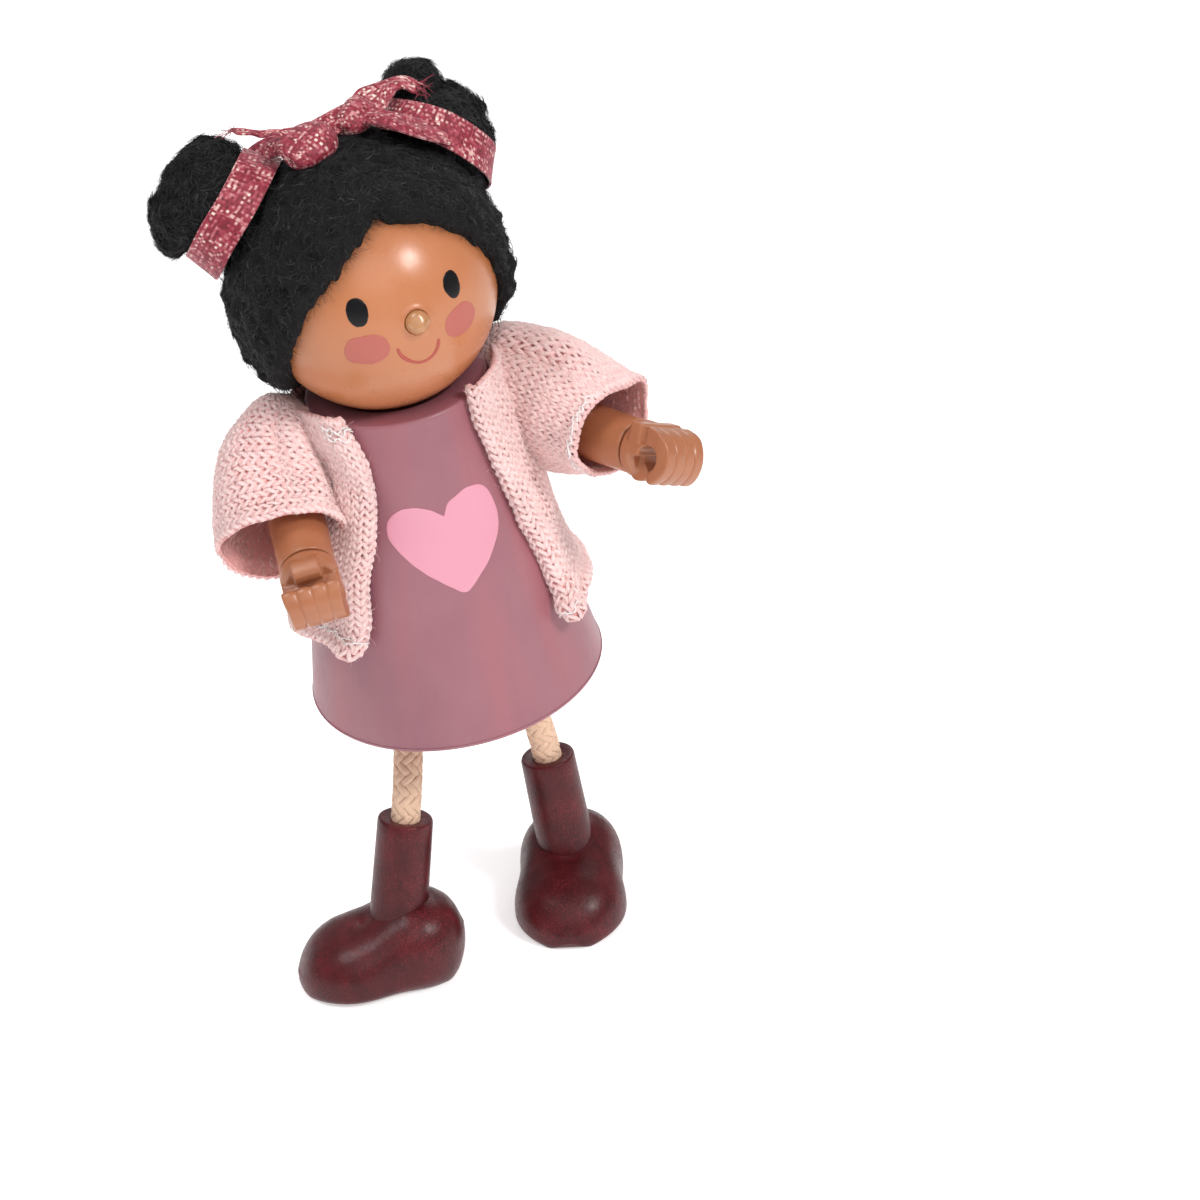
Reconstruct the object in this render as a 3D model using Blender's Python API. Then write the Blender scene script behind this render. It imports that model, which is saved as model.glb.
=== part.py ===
"""Small wooden doll with bendable cord limbs, about 105 mm tall.

A turned cone is the body and its painted dress. A ball head turns on a dowel
in the dish on top of the cone. One wire-cored cord runs across the body and is
both arms; two more hang from sockets in its flat underside and are the legs.
Turned forearms carry moulded hands, and the legs end in two-piece boots. The
hair is a fleece cap with two buns tied by one ribbon, and the open jacket is
knitted.

Metres, +Z up. The doll faces -Y and its right side is at -X. The origin lies
on the floor under the middle of its bounding box.
"""
import math

import bmesh
import bpy
from mathutils import Matrix, Vector

for old in list(bpy.data.objects):
    bpy.data.objects.remove(old, do_unlink=True)

MM = 0.001

# ---------------------------------------------------------------- dimensions
# All in millimetres and degrees.
ORIGIN = Vector((0.954, 0.183, 0.0))        # from the middle of the stance to the origin
GAP = 0.3                                 # clearance between neighbouring pieces

BODY_FOOT = Vector((-0.07, 2.41, 33.16))  # centre of the cone's flat underside
BODY_AXIS = Vector((-0.100, -0.040, 0.994))
BODY_H, BODY_R, BODY_TOP_R = 36.45, 16.3, 9.7
HEAD_R, HEAD_H = 12.5, 47.32              # ball radius, and its centre above the underside
DOWEL_R, DOWEL_LOW, DOWEL_HIGH = 1.9, 30.8, 42.5
CORD_R, WIRE_R, CORD_BORE_R = 1.55, 0.4, 0.7
SHOULDER_H, SHOULDER_OUT = 28.0, 14.6     # where the arm cord bends
SHOULDER_END = 2.3                        # the cord inside the body stops this far from it
HIP_OUT, HIP_DROP = 6.5, 2.2              # where a leg cord bends, below the underside
JOINT_END = 1.85                          # a cord end stops this far from the bend

FOREARM_R, FOREARM_L, HAND_W = 3.0, 8.0, 6.1
RIGHT_WRIST = Vector((-17.43, -11.50, 56.31))
RIGHT_REACH = Vector((-0.075, -0.937, -0.340))
RIGHT_PALM = Vector((-0.194, -0.320, 0.925))
LEFT_WRIST = Vector((18.46, -11.50, 62.47))
LEFT_REACH = Vector((0.448, -0.893, 0.039))
LEFT_PALM = Vector((-0.335, -0.209, -0.919))

SHAFT_R_TOP, SHAFT_R_LOW, SHAFT_L = 3.05, 3.25, 10.15
FOOT_H = 8.9                              # the seat that the boot's shaft stands on
RIGHT_SHAFT = Vector((-10.91, -4.20, FOOT_H))
RIGHT_SHAFT_AXIS = Vector((0.196, 0.104, 0.975))
RIGHT_TOE = math.degrees(math.atan2(0.10, -0.99))
LEFT_SHAFT = Vector((10.20, 2.18, FOOT_H))
LEFT_SHAFT_AXIS = Vector((-0.092, 0.064, 0.994))
LEFT_TOE = math.degrees(math.atan2(-0.95, -0.32))
FOOT_TOE, FOOT_HEEL, TOE_W, HEEL_W = 11.5, 7.7, 12.9, 12.0    # from the shaft's line
FOOT_TOP = ((-7.7, 4.6), (-7.3, 6.4), (-6.3, 8.4), (-4.8, 9.6), (-3.0, 10.1), (-1.0, 10.1), (1.0, 9.4),
            (3.3, 8.3), (5.0, 7.7), (6.8, 7.1), (8.3, 6.3), (9.5, 5.3), (10.5, 4.0), (11.2, 2.6), (11.5, 1.7))
FOOT_SIDE = ((-7.7, 4.2), (-4.0, 3.4), (2.0, 1.9), (6.0, 1.5), (11.5, 1.4))     # height of the widest line
FOOT_UNDER = ((-7.7, 3.8), (-7.3, 2.4), (-6.5, 1.0), (-5.7, 0.3), (-5.1, 0.0), (10.7, 0.0), (11.2, 0.4),
              (11.5, 1.1))

CAP_IN = HEAD_R + GAP + 0.1
RIGHT_BUN_DIR = (-0.690, 0.364, 0.625)      # in the head's frame, which faces its own -Y
LEFT_BUN_DIR = (0.660, 0.364, 0.657)
BUN_SEAT, BUN_TIP = 15.9, 24.7
RIBBON_LOW_R, RIBBON_HIGH_R, RIBBON_T, RIBBON_W = 6.95, 6.05, 0.45, 4.0
JACKET_GAP, JACKET_T, JACKET_HEM, JACKET_TOP = 0.45, 1.1, 10.0, 36.6


# ------------------------------------------------------------------- frames
def frame(origin, z, x_hint):
    """A right-handed frame in metres: Z along z, X as near x_hint as it can be."""
    z = Vector(z).normalized()
    x = Vector(x_hint)
    x = (x - x.dot(z) * z).normalized()
    y = z.cross(x)
    m = Matrix((x, y, z)).transposed().to_4x4()
    m.translation = (Vector(origin) + ORIGIN) * MM
    return m


BODY = frame(BODY_FOOT, BODY_AXIS, (1, 0, 0))
HEAD_AT = BODY_FOOT + BODY_AXIS.normalized() * HEAD_H
HEAD = frame(HEAD_AT, (-0.090, 0.060, 0.994), (0.990, 0.112, 0.083))   # faces its own -Y


def body_point(x, y, z):
    """A point given in the body's frame, back in the stance's millimetres."""
    return (BODY @ (Vector((x, y, z)) * MM)) / MM - ORIGIN


RIGHT_SHOULDER = body_point(-SHOULDER_OUT, 0, SHOULDER_H)
LEFT_SHOULDER = body_point(SHOULDER_OUT, 0, SHOULDER_H)
RIGHT_HIP = body_point(-HIP_OUT, 0, -HIP_DROP)
LEFT_HIP = body_point(HIP_OUT, 0, -HIP_DROP)


# --------------------------------------------------------- building helpers
def material(name, color, rough, metal=0.0):
    mat = bpy.data.materials.new(name)
    mat.use_nodes = True
    bsdf = mat.node_tree.nodes["Principled BSDF"]
    bsdf.inputs["Base Color"].default_value = (*color, 1.0)
    bsdf.inputs["Roughness"].default_value = rough
    bsdf.inputs["Metallic"].default_value = metal
    mat.diffuse_color = (*color, 1.0)
    return mat


PAINT = material("dress_paint", (0.290, 0.125, 0.160), 0.38)
SKIN = material("skin_paint", (0.560, 0.245, 0.110), 0.30)
NOSE = material("nose_wood", (0.520, 0.270, 0.120), 0.35)
HAIR = material("hair_fleece", (0.006, 0.006, 0.007), 0.95)
RIBBON = material("ribbon_weave", (0.420, 0.060, 0.110), 0.60)
HAND = material("hand_plastic", (0.400, 0.150, 0.060), 0.36)
CORD = material("cord_cotton", (0.620, 0.430, 0.290), 0.90)
WIRE = material("wire_steel", (0.550, 0.550, 0.560), 0.35, 1.0)
BOOT = material("boot_stain", (0.060, 0.010, 0.014), 0.28)
KNIT = material("jacket_knit", (0.790, 0.420, 0.430), 0.92)
WOOD = material("bare_wood", (0.640, 0.450, 0.260), 0.60)

AXES = {}


def axis_empty(name, at):
    """An empty on a joint's axis, the parent of every piece that moves with it."""
    empty = bpy.data.objects.new(name, None)
    empty.location = (at + ORIGIN) * MM
    empty.empty_display_size = 0.005
    bpy.context.scene.collection.objects.link(empty)
    AXES[name] = empty
    return empty


def add(name, verts, faces, mat, matrix=None, parent=None, smooth=True, sharp=35.0):
    """One object from millimetre points in its own frame."""
    mesh = bpy.data.meshes.new(name)
    bm = bmesh.new()
    made = [bm.verts.new(Vector(v) * MM) for v in verts]
    for face in faces:
        bm.faces.new([made[i] for i in face])
    bmesh.ops.recalc_face_normals(bm, faces=bm.faces)
    bm.to_mesh(mesh)
    bm.free()
    obj = bpy.data.objects.new(name, mesh)
    bpy.context.scene.collection.objects.link(obj)
    if mat:
        mesh.materials.append(mat)
    if smooth:
        mesh.shade_smooth()
        mesh.set_sharp_from_angle(angle=math.radians(sharp))
    world = matrix or frame((0, 0, 0), (0, 0, 1), (1, 0, 0))
    if parent:
        obj.parent = parent
        obj.matrix_basis = Matrix.Translation(-parent.location) @ world
    else:
        obj.matrix_basis = world
    return obj


def rings_to_faces(count, seg, closed_ends=True):
    faces = []
    for k in range(count - 1):
        for i in range(seg):
            j = (i + 1) % seg
            faces.append((k * seg + i, k * seg + j, (k + 1) * seg + j, (k + 1) * seg + i))
    if closed_ends:
        faces.append(tuple(reversed(range(seg))))
        faces.append(tuple((count - 1) * seg + i for i in range(seg)))
    return faces


def lathe(profile, seg):
    """Turns (radius, height) pairs about Z. A radius of zero is a point on the axis.
    A profile that never meets the axis is closed on itself, as a tube."""
    verts, rows = [], []
    for r, z in profile:
        if r < 1e-6:
            rows.append([len(verts)])
            verts.append((0.0, 0.0, z))
        else:
            rows.append(list(range(len(verts), len(verts) + seg)))
            for i in range(seg):
                a = 2 * math.pi * i / seg
                verts.append((r * math.cos(a), r * math.sin(a), z))
    loop = list(range(len(rows)))
    pairs = list(zip(loop, loop[1:]))
    if len(rows[0]) > 1 and len(rows[-1]) > 1:
        pairs.append((loop[-1], loop[0]))
    faces = []
    for a, b in pairs:
        p, q = rows[a], rows[b]
        for i in range(seg):
            j = (i + 1) % seg
            if len(p) == 1 and len(q) == 1:
                break
            if len(p) == 1:
                faces.append((p[0], q[j], q[i]))
            elif len(q) == 1:
                faces.append((p[i], p[j], q[0]))
            else:
                faces.append((p[i], p[j], q[j], q[i]))
    return verts, faces


def arc(cx, cz, r, a0, a1, n):
    """Points (radius, height) on a circle about (cx, cz), angles from the +r direction."""
    return [(cx + r * math.cos(math.radians(a0 + (a1 - a0) * i / n)),
             cz + r * math.sin(math.radians(a0 + (a1 - a0) * i / n))) for i in range(n + 1)]


def cut(target, cutter):
    cutter.hide_render = True
    cutter.display_type = 'WIRE'
    mod = target.modifiers.new("cut_" + cutter.name, 'BOOLEAN')
    mod.operation = 'DIFFERENCE'
    mod.object = cutter


def join(target, other):
    other.hide_render = True
    other.display_type = 'WIRE'
    mod = target.modifiers.new("join_" + other.name, 'BOOLEAN')
    mod.operation = 'UNION'
    mod.object = other


def cylinder(name, start, end, radius, seg=20, mat=None, parent=None):
    length = (Vector(end) - Vector(start)).length
    axis = Vector(end) - Vector(start)
    hint = (1, 0, 0) if abs(axis.normalized().x) < 0.8 else (0, 1, 0)
    verts, faces = lathe([(0, 0), (radius, 0), (radius, length), (0, length)], seg)
    return add(name, verts, faces, mat, frame(start, axis, hint), parent)


def body_radius(h):
    return BODY_R + (BODY_TOP_R - BODY_R) * h / BODY_H


# -------------------------------------------------------------------- torso
def dish_profile():
    """The rim, the round seat for the head and the dowel's hole, inwards and down."""
    seat_r = HEAD_R + GAP
    lip = math.sqrt(seat_r ** 2 - (HEAD_H - BODY_H) ** 2)
    out = [(BODY_TOP_R - 0.5, BODY_H)]
    hole = DOWEL_R + GAP
    for i in range(6):
        r = lip + (hole - lip) * i / 5
        out.append((r, HEAD_H - math.sqrt(seat_r ** 2 - r ** 2)))
    return out + [(hole, DOWEL_LOW), (0, DOWEL_LOW)]


verts, faces = lathe([(0, 0), (BODY_R - 0.5, 0), (BODY_R - 0.12, 0.14), (BODY_R, 0.6),
                      (body_radius(BODY_H - 0.7), BODY_H - 0.7)] + dish_profile(), 56)
torso = add("torso", verts, faces, PAINT, BODY)
cut(torso, cylinder("cut_arm_hole", body_point(-20, 0, SHOULDER_H),
                    body_point(20, 0, SHOULDER_H), CORD_R + GAP, 16))
for side, x in (("right", -HIP_OUT), ("left", HIP_OUT)):
    cut(torso, cylinder("cut_%s_leg_socket" % side, body_point(x, 0, -2),
                        body_point(x, 0, 9), CORD_R + GAP, 16))

verts, faces = lathe([(0, DOWEL_LOW + GAP), (DOWEL_R - 0.2, DOWEL_LOW + GAP),
                      (DOWEL_R, DOWEL_LOW + GAP + 0.3), (DOWEL_R, DOWEL_HIGH - 0.3),
                      (DOWEL_R - 0.2, DOWEL_HIGH), (0, DOWEL_HIGH)], 16)
add("neck_dowel", verts, faces, WOOD, BODY)

# --------------------------------------------------------------------- head
neck_axis = axis_empty("axis_head_turn", HEAD_AT)
# The ball is turned about the body's axis, with the dowel's blind hole below.
hole = DOWEL_R + GAP
hole_top = DOWEL_HIGH + GAP - HEAD_H
start = math.degrees(math.acos(hole / HEAD_R))
profile = [(0, hole_top), (hole, hole_top)] + arc(0, 0, HEAD_R, -start, 90, 24)
profile[-1] = (0, HEAD_R)
verts, faces = lathe(profile, 48)
BALL = frame(HEAD_AT, BODY_AXIS, (1, 0, 0))
head_ball = add("head_ball", verts, faces, SKIN, BALL, neck_axis)
nose_frame = HEAD @ Matrix.Rotation(math.radians(90), 4, 'X')      # its Z points forward
verts, faces = lathe([(0, HEAD_R - 4.0), (1.55, HEAD_R - 4.0), (1.55, HEAD_R + 3), (0, HEAD_R + 3)], 16)
cut(head_ball, add("cut_nose_hole", verts, faces, None, nose_frame, neck_axis))
verts, faces = lathe([(0, HEAD_R - 3.6), (1.25, HEAD_R - 3.6), (1.25, HEAD_R + 0.25)]
                     + arc(0, HEAD_R + 0.25, 1.25, 15, 75, 4) + [(0, HEAD_R + 1.5)], 16)
add("nose_peg", verts, faces, NOSE, nose_frame, neck_axis)


# --------------------------------------------------------------------- hair
def hairline(az):
    """Elevation of the hair's edge for an azimuth from the nose, in degrees."""
    a = abs((az + 180) % 360 - 180)
    points = ((0, 49.0), (20, 41.5), (30, 33.5), (45, 18.0), (55, 5.5), (63, -5.0),
              (72, -17.0), (85, -33.0), (110, -42.0), (180, -46.0))
    for (a0, e0), (a1, e1) in zip(points, points[1:]):
        if a <= a1:
            t = (a - a0) / (a1 - a0)
            return e0 + (e1 - e0) * t
    return points[-1][1]


def cap_radius(az, el):
    """Outer radius of the fleece: thin at the temples, thick behind the ears."""
    a = abs((az + 180) % 360 - 180)
    back = 1.0 / (1.0 + math.exp(-(a - 85) / 12.0))
    top = max(0.0, math.sin(math.radians(el)))
    thin = 0.3 * max(0.0, math.sin(math.radians(az)))
    r = 14.0 - thin + 1.5 * back * math.cos(math.radians(el - 5)) ** 2 + 1.15 * top
    low = min(1.0, max(0.0, (-el - 22) / 22.0))
    return min(15.4, r) * (1 - low) + min(r, 14.45) * low


def cap_mesh(n_az=44, n_el=13):
    outer, inner = [], []
    for k in range(n_el):
        t = k / n_el
        row_o, row_i = [], []
        for i in range(n_az):
            az = 360.0 * i / n_az
            edge = hairline(az)
            el = edge + (90 - edge) * t ** 0.85
            r = cap_radius(az, el)
            if k == 0:
                r = CAP_IN + 0.55
            elif k == 1:
                r = CAP_IN + (r - CAP_IN) * 0.92
            ca, sa = math.cos(math.radians(az)), math.sin(math.radians(az))
            ce, se = math.cos(math.radians(el)), math.sin(math.radians(el))
            d = Vector((sa * ce, -ca * ce, se))
            row_o.append(d * r)
            row_i.append(d * CAP_IN)
        outer.append(row_o)
        inner.append(row_i)
    verts = [v for row in outer for v in row] + [Vector((0, 0, cap_radius(0, 90)))]
    top_o = len(verts) - 1
    base = len(verts)
    verts += [v for row in inner for v in row] + [Vector((0, 0, CAP_IN))]
    top_i = len(verts) - 1
    faces = []
    for k in range(n_el - 1):
        for i in range(n_az):
            j = (i + 1) % n_az
            a, b, c, d = k * n_az + i, k * n_az + j, (k + 1) * n_az + j, (k + 1) * n_az + i
            faces.append((a, b, c, d))
            faces.append((base + d, base + c, base + b, base + a))
    for i in range(n_az):
        j = (i + 1) % n_az
        a, b = (n_el - 1) * n_az + i, (n_el - 1) * n_az + j
        faces.append((a, b, top_o))
        faces.append((base + b, base + a, top_i))
        faces.append((j, i, base + i, base + j))
    return verts, faces


verts, faces = cap_mesh()
add("hair_cap", verts, faces, HAIR, HEAD, neck_axis)


def bun_frame(direction):
    """Origin at the head's centre, Z out through the bun, X as near forward as it can be."""
    turn = HEAD.to_3x3()
    return frame(HEAD_AT, turn @ Vector(direction), turn @ Vector((0, -1, 0)))


def neck_radius(z):
    """The hair inside the ribbon's loop, which narrows outwards."""
    t = (z - 14.5) / RIBBON_W
    return RIBBON_LOW_R + (RIBBON_HIGH_R - RIBBON_LOW_R) * t - GAP - 0.15


def bun_mesh(lobes, tip, seg=26, rows=11):
    """A dome on a hollowed seat; each lobe (azimuth, height, swell) pushes it out."""
    seat = [(r, math.sqrt(BUN_SEAT ** 2 - r * r)) for r in (2.2, 4.4, 5.9)]
    profile = [(0, BUN_SEAT)] + seat + [(neck_radius(14.9), 14.9), (neck_radius(16.7), 16.7), (neck_radius(18.5), 18.55)]
    mid, tall = 18.55, tip - 18.55
    for k in range(rows):
        a = math.radians(90.0 * (k + 0.6) / (rows + 0.2))
        profile.append((6.75 * math.cos(a) ** 0.72, mid + tall * math.sin(a) ** 0.95))
    profile.append((0, tip))
    verts, faces = lathe(profile, seg)
    out = []
    for x, y, z in verts:
        v = Vector((x, y, z))
        if z > mid:
            az = math.degrees(math.atan2(y, x))
            grow = 0.0
            for a0, z0, swell in lobes:
                da = (az - a0 + 180) % 360 - 180
                grow += swell * math.exp(-(da / 45.0) ** 2 - ((z - z0) / 3.2) ** 2)
            v = v + (v - Vector((0, 0, mid))).normalized() * grow * min(1.0, (z - mid) / 2.0)
        out.append(v)
    return out, faces


# Azimuths turn from the front: +90 is up towards the crown on the right bun, and
# down away from it on the left one.
for side, direction, tip, lobes in (
        ("right", RIGHT_BUN_DIR, 24.7, ((-90, 21.0, 0.5), (90, 21.5, 0.3), (0, 21.5, 0.3))),
        ("left", LEFT_BUN_DIR, 22.6, ((-90, 21.5, 1.6), (-90, 24.0, 1.0), (80, 21.0, -1.2)))):
    verts, faces = bun_mesh(lobes, tip)
    add(side + "_bun", verts, faces, HAIR, bun_frame(direction), neck_axis)


def band(points, width_dir, width, thick, seg_name, parent):
    """A flat strip through the points, with its width along width_dir."""
    count = len(points)
    verts = []
    for k, p in enumerate(points):
        t = (points[min(k + 1, count - 1)] - points[max(k - 1, 0)]).normalized()
        w = (width_dir[k] - width_dir[k].dot(t) * t).normalized()
        n = t.cross(w)
        for sw, sn in ((-1, -1), (1, -1), (1, 1), (-1, 1)):
            verts.append(p + w * (sw * width / 2) + n * (sn * thick / 2))
    return add(seg_name, verts, rings_to_faces(count, 4), None, HEAD, parent, smooth=False)


def on_cap(direction, radius):
    return Vector(direction).normalized() * radius


ring_profile = [(RIBBON_LOW_R, 14.5), (RIBBON_LOW_R + RIBBON_T, 14.5),
                (RIBBON_HIGH_R + RIBBON_T, 14.5 + RIBBON_W), (RIBBON_HIGH_R, 14.5 + RIBBON_W)]
verts, faces = lathe(ring_profile, 36)
ribbon = add("hair_ribbon", verts, faces, RIBBON, bun_frame(RIGHT_BUN_DIR), neck_axis)
join(ribbon, add("ribbon_left_loop", verts, faces, None, bun_frame(LEFT_BUN_DIR), neck_axis))
# The strip over the crown runs from loop to loop, with the knot and two tails on it.
crown = Vector((0.04, 0.453, 0.890))
strip, across = [], []
for i in range(13):
    s = -1 + 2 * i / 12
    out = Vector(LEFT_BUN_DIR if s > 0 else RIGHT_BUN_DIR).normalized()
    rise = (crown - crown.dot(out) * out).normalized()
    end = out * 16.6 + rise * ((RIBBON_LOW_R + RIBBON_HIGH_R) / 2 + RIBBON_T * 0.8)
    t = abs(s) ** 0.8
    r = 16.35 * (1 - t) + end.length * t
    strip.append(on_cap(crown.normalized() * (1 - t) + end.normalized() * t, r))
    across.append(Vector((0, 1, -0.5)))
join(ribbon, band(strip, across, 3.4, 0.5, "ribbon_crown", neck_axis))
verts, faces = lathe([(0, -1.5)] + arc(0, 0, 1.5, -60, 60, 6) + [(0, 1.5)], 12)
knot_frame = HEAD @ Matrix.Translation(on_cap(crown, 17.5) * MM)
join(ribbon, add("ribbon_knot", [(2.1 * v[0], 1.5 * v[1], 1.0 * v[2]) for v in verts], faces,
                 None, knot_frame, neck_axis))
for label, reach, rise in (("ribbon_right_tail", -6.2, 1.6), ("ribbon_left_tail", 5.0, 3.6)):
    tail = []
    for i in range(6):
        t = i / 5
        tail.append(on_cap(crown, 17.9) + Vector((reach * (0.1 + t), -0.6 * t, 0.35 + rise * t - 1.6 * t * t)))
    join(ribbon, band(tail, [Vector((0, 1, 0.2))] * 6, 2.6, 0.45, label, neck_axis))


# ---------------------------------------------------------------- the limbs
def cord_profile(length, round_low, round_high):
    """A cord with a bore for its wire; a round end turns inside a bend."""
    out = [(CORD_BORE_R, 0.0 if not round_low else -CORD_R * 0.8)]
    if round_low:
        out += arc(0, 0, CORD_R, -53, 0, 4)
    else:
        out += [(CORD_R, 0.0)]
    if round_high:
        out += arc(0, length, CORD_R, 0, 53, 4) + [(CORD_BORE_R, length + CORD_R * 0.8)]
    else:
        out += [(CORD_R, length), (CORD_BORE_R, length)]
    return out


def cord_piece(name, start, end, parent, round_low=False, round_high=False, wire=None):
    axis = Vector(end) - Vector(start)
    hint = (1, 0, 0) if abs(axis.normalized().x) < 0.8 else (0, 1, 0)
    here = frame(start, axis, hint)
    if wire is None:
        length = axis.length
        verts, faces = lathe([(0, 0), (CORD_R, 0), (CORD_R, length), (0, length)], 14)
        return add(name, verts, faces, CORD, here, parent)
    verts, faces = lathe(cord_profile(axis.length, round_low, round_high), 14)
    add(name, verts, faces, CORD, here, parent)
    verts, faces = lathe([(0, -0.9 if round_low else 0.2), (WIRE_R, -0.9 if round_low else 0.2),
                          (WIRE_R, axis.length + (0.9 if round_high else -0.2)),
                          (0, axis.length + (0.9 if round_high else -0.2))], 8)
    return add(wire, verts, faces, WIRE, here, parent)


# The arm cord passes right through the body; the piece inside it stays put.
cord_piece("arm_cord_core", body_point(-(SHOULDER_OUT - SHOULDER_END), 0, SHOULDER_H),
           body_point(SHOULDER_OUT - SHOULDER_END, 0, SHOULDER_H), None)


def hand_frame(wrist, reach, palm):
    """Origin at the wrist, Z along the fingers, Y towards the open side of the grip."""
    z = reach.normalized()
    y = (palm - palm.dot(z) * z).normalized()
    return frame(wrist, z, y.cross(z))


def prism(outline, half):
    """Extrudes (y, z) points along X, to half each way."""
    n = len(outline)
    verts = [(-half, y, z) for y, z in outline] + [(half, y, z) for y, z in outline]
    faces = [tuple(range(n)), tuple(reversed(range(n, 2 * n)))]
    for i in range(n):
        j = (i + 1) % n
        faces.append((i, n + i, n + j, j))
    return verts, faces


GRIP_Y, GRIP_Z, GRIP_R, FINGER_R = 0.35, 4.25, 1.35, 2.8    # the fingers close on a round space


def fingers_outline():
    """Palm and curled fingers: a thick hook that opens at +Y."""
    outer = [(-2.95, 1.2), (-3.0, 3.4)]
    outer += [(0.1 + (FINGER_R + 0.1) * math.sin(math.radians(a)),
               GRIP_Z - 0.05 + FINGER_R * math.cos(math.radians(a))) for a in range(-80, 66, 16)]
    tip = [(2.6, 5.0), (2.25, 4.75), (1.8, 4.85)]
    inner = [(GRIP_Y + GRIP_R * math.sin(math.radians(a)),
              GRIP_Z + GRIP_R * math.cos(math.radians(a))) for a in range(45, -181, -25)]
    return outer + tip + inner + [(GRIP_Y + 0.2, 1.2)]


def thumb_outline():
    return [(-0.5, 1.2), (2.95, 1.2), (3.15, 2.0), (3.0, 2.9), (2.5, 3.4), (1.95, 3.45),
            (1.5, 3.05), (1.0, 2.6), (-0.5, 2.4)]


def build_arm(side, shoulder, wrist, reach, palm, parent, hand_parent):
    reach = reach.normalized()
    back = wrist - reach * FOREARM_L
    along = (back - shoulder).normalized()
    # The cord runs from the bend to the forearm's bore.
    cord_piece(side + "_arm_cord", shoulder, back + along * 1.6, parent,
               round_low=True, wire=side + "_arm_wire")
    fa = frame(back, reach, along.cross(reach) if along.cross(reach).length > 1e-3 else (0, 0, 1))
    bore = CORD_R + GAP + 0.3
    verts, faces = lathe([(0, 2.6), (bore, 2.6), (bore, 0), (FOREARM_R - 0.3, 0), (FOREARM_R, 0.35),
                          (FOREARM_R, FOREARM_L - 0.15), (FOREARM_R - 0.15, FOREARM_L),
                          (1.8, FOREARM_L), (1.8, FOREARM_L - 2.8), (0, FOREARM_L - 2.8)], 28)
    add(side + "_forearm", verts, faces, HAND, fa, parent)
    hf = hand_frame(wrist, reach, palm)
    verts, faces = lathe([(0, -2.4), (1.3, -2.4), (1.5, -2.2), (1.5, GAP), (HAND_W / 2 - 0.12, GAP),
                          (HAND_W / 2, GAP + 0.15), (HAND_W / 2, 1.5), (HAND_W / 2 - 0.5, 2.0), (0, 2.1)], 28)
    hand = add(side + "_hand", verts, faces, HAND, hf, hand_parent)
    verts, faces = prism(fingers_outline(), HAND_W / 2 - 0.05)
    join(hand, add(side + "_fingers", verts, faces, None, hf, hand_parent, smooth=False))
    verts, faces = prism(thumb_outline(), 1.35)
    join(hand, add(side + "_thumb", verts, faces, None, hf, hand_parent, smooth=False))


right_arm = axis_empty("axis_right_shoulder", RIGHT_SHOULDER)
left_arm = axis_empty("axis_left_shoulder", LEFT_SHOULDER)
right_wrist = axis_empty("axis_right_wrist", RIGHT_WRIST)
left_wrist = axis_empty("axis_left_wrist", LEFT_WRIST)
build_arm("right", RIGHT_SHOULDER, RIGHT_WRIST, RIGHT_REACH, RIGHT_PALM, right_arm, right_wrist)
build_arm("left", LEFT_SHOULDER, LEFT_WRIST, LEFT_REACH, LEFT_PALM, left_arm, left_wrist)


# --------------------------------------------------------------------- legs
def along(points, s):
    """Straight lines between the points of a table."""
    for (s0, v0), (s1, v1) in zip(points, points[1:]):
        if s <= s1:
            return v0 + (v1 - v0) * (s - s0) / (s1 - s0)
    return points[-1][1]


def foot_half_width(s):
    """Half width of the foot at s in front of the shaft: a round heel and a wider toe."""
    total = 0.0
    for centre, half, width in ((5.7 - FOOT_HEEL, 5.7, HEEL_W / 2), (FOOT_TOE - 6.9, 6.9, TOE_W / 2)):
        total += (width * math.sqrt(max(0.0, 1 - ((s - centre) / half) ** 2))) ** 6
    return total ** (1 / 6)


def foot_mesh(rows=19, seg=24):
    """Ring after ring from heel to toe, each flat below and round above."""
    mid, half = (FOOT_TOE - FOOT_HEEL) / 2, (FOOT_TOE + FOOT_HEEL) / 2
    verts, faces = [], []
    for k in range(rows):
        s = mid - half * math.cos(math.pi * (k + 0.42) / (rows - 0.16))
        w, top, side, under = foot_half_width(s), along(FOOT_TOP, s), along(FOOT_SIDE, s), along(FOOT_UNDER, s)
        for i in range(seg):
            a = 2 * math.pi * i / seg
            c, d = math.cos(a), math.sin(a)
            y = w * math.copysign(abs(c) ** 0.85, c)
            if d > 0:
                z = side + (top - side) * d ** 0.85
            else:
                z = side - (side - under) * min(1.0, 1.3 * abs(d) ** 0.7)
            verts.append((s, y, z))
    return verts, rings_to_faces(rows, seg)


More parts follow.
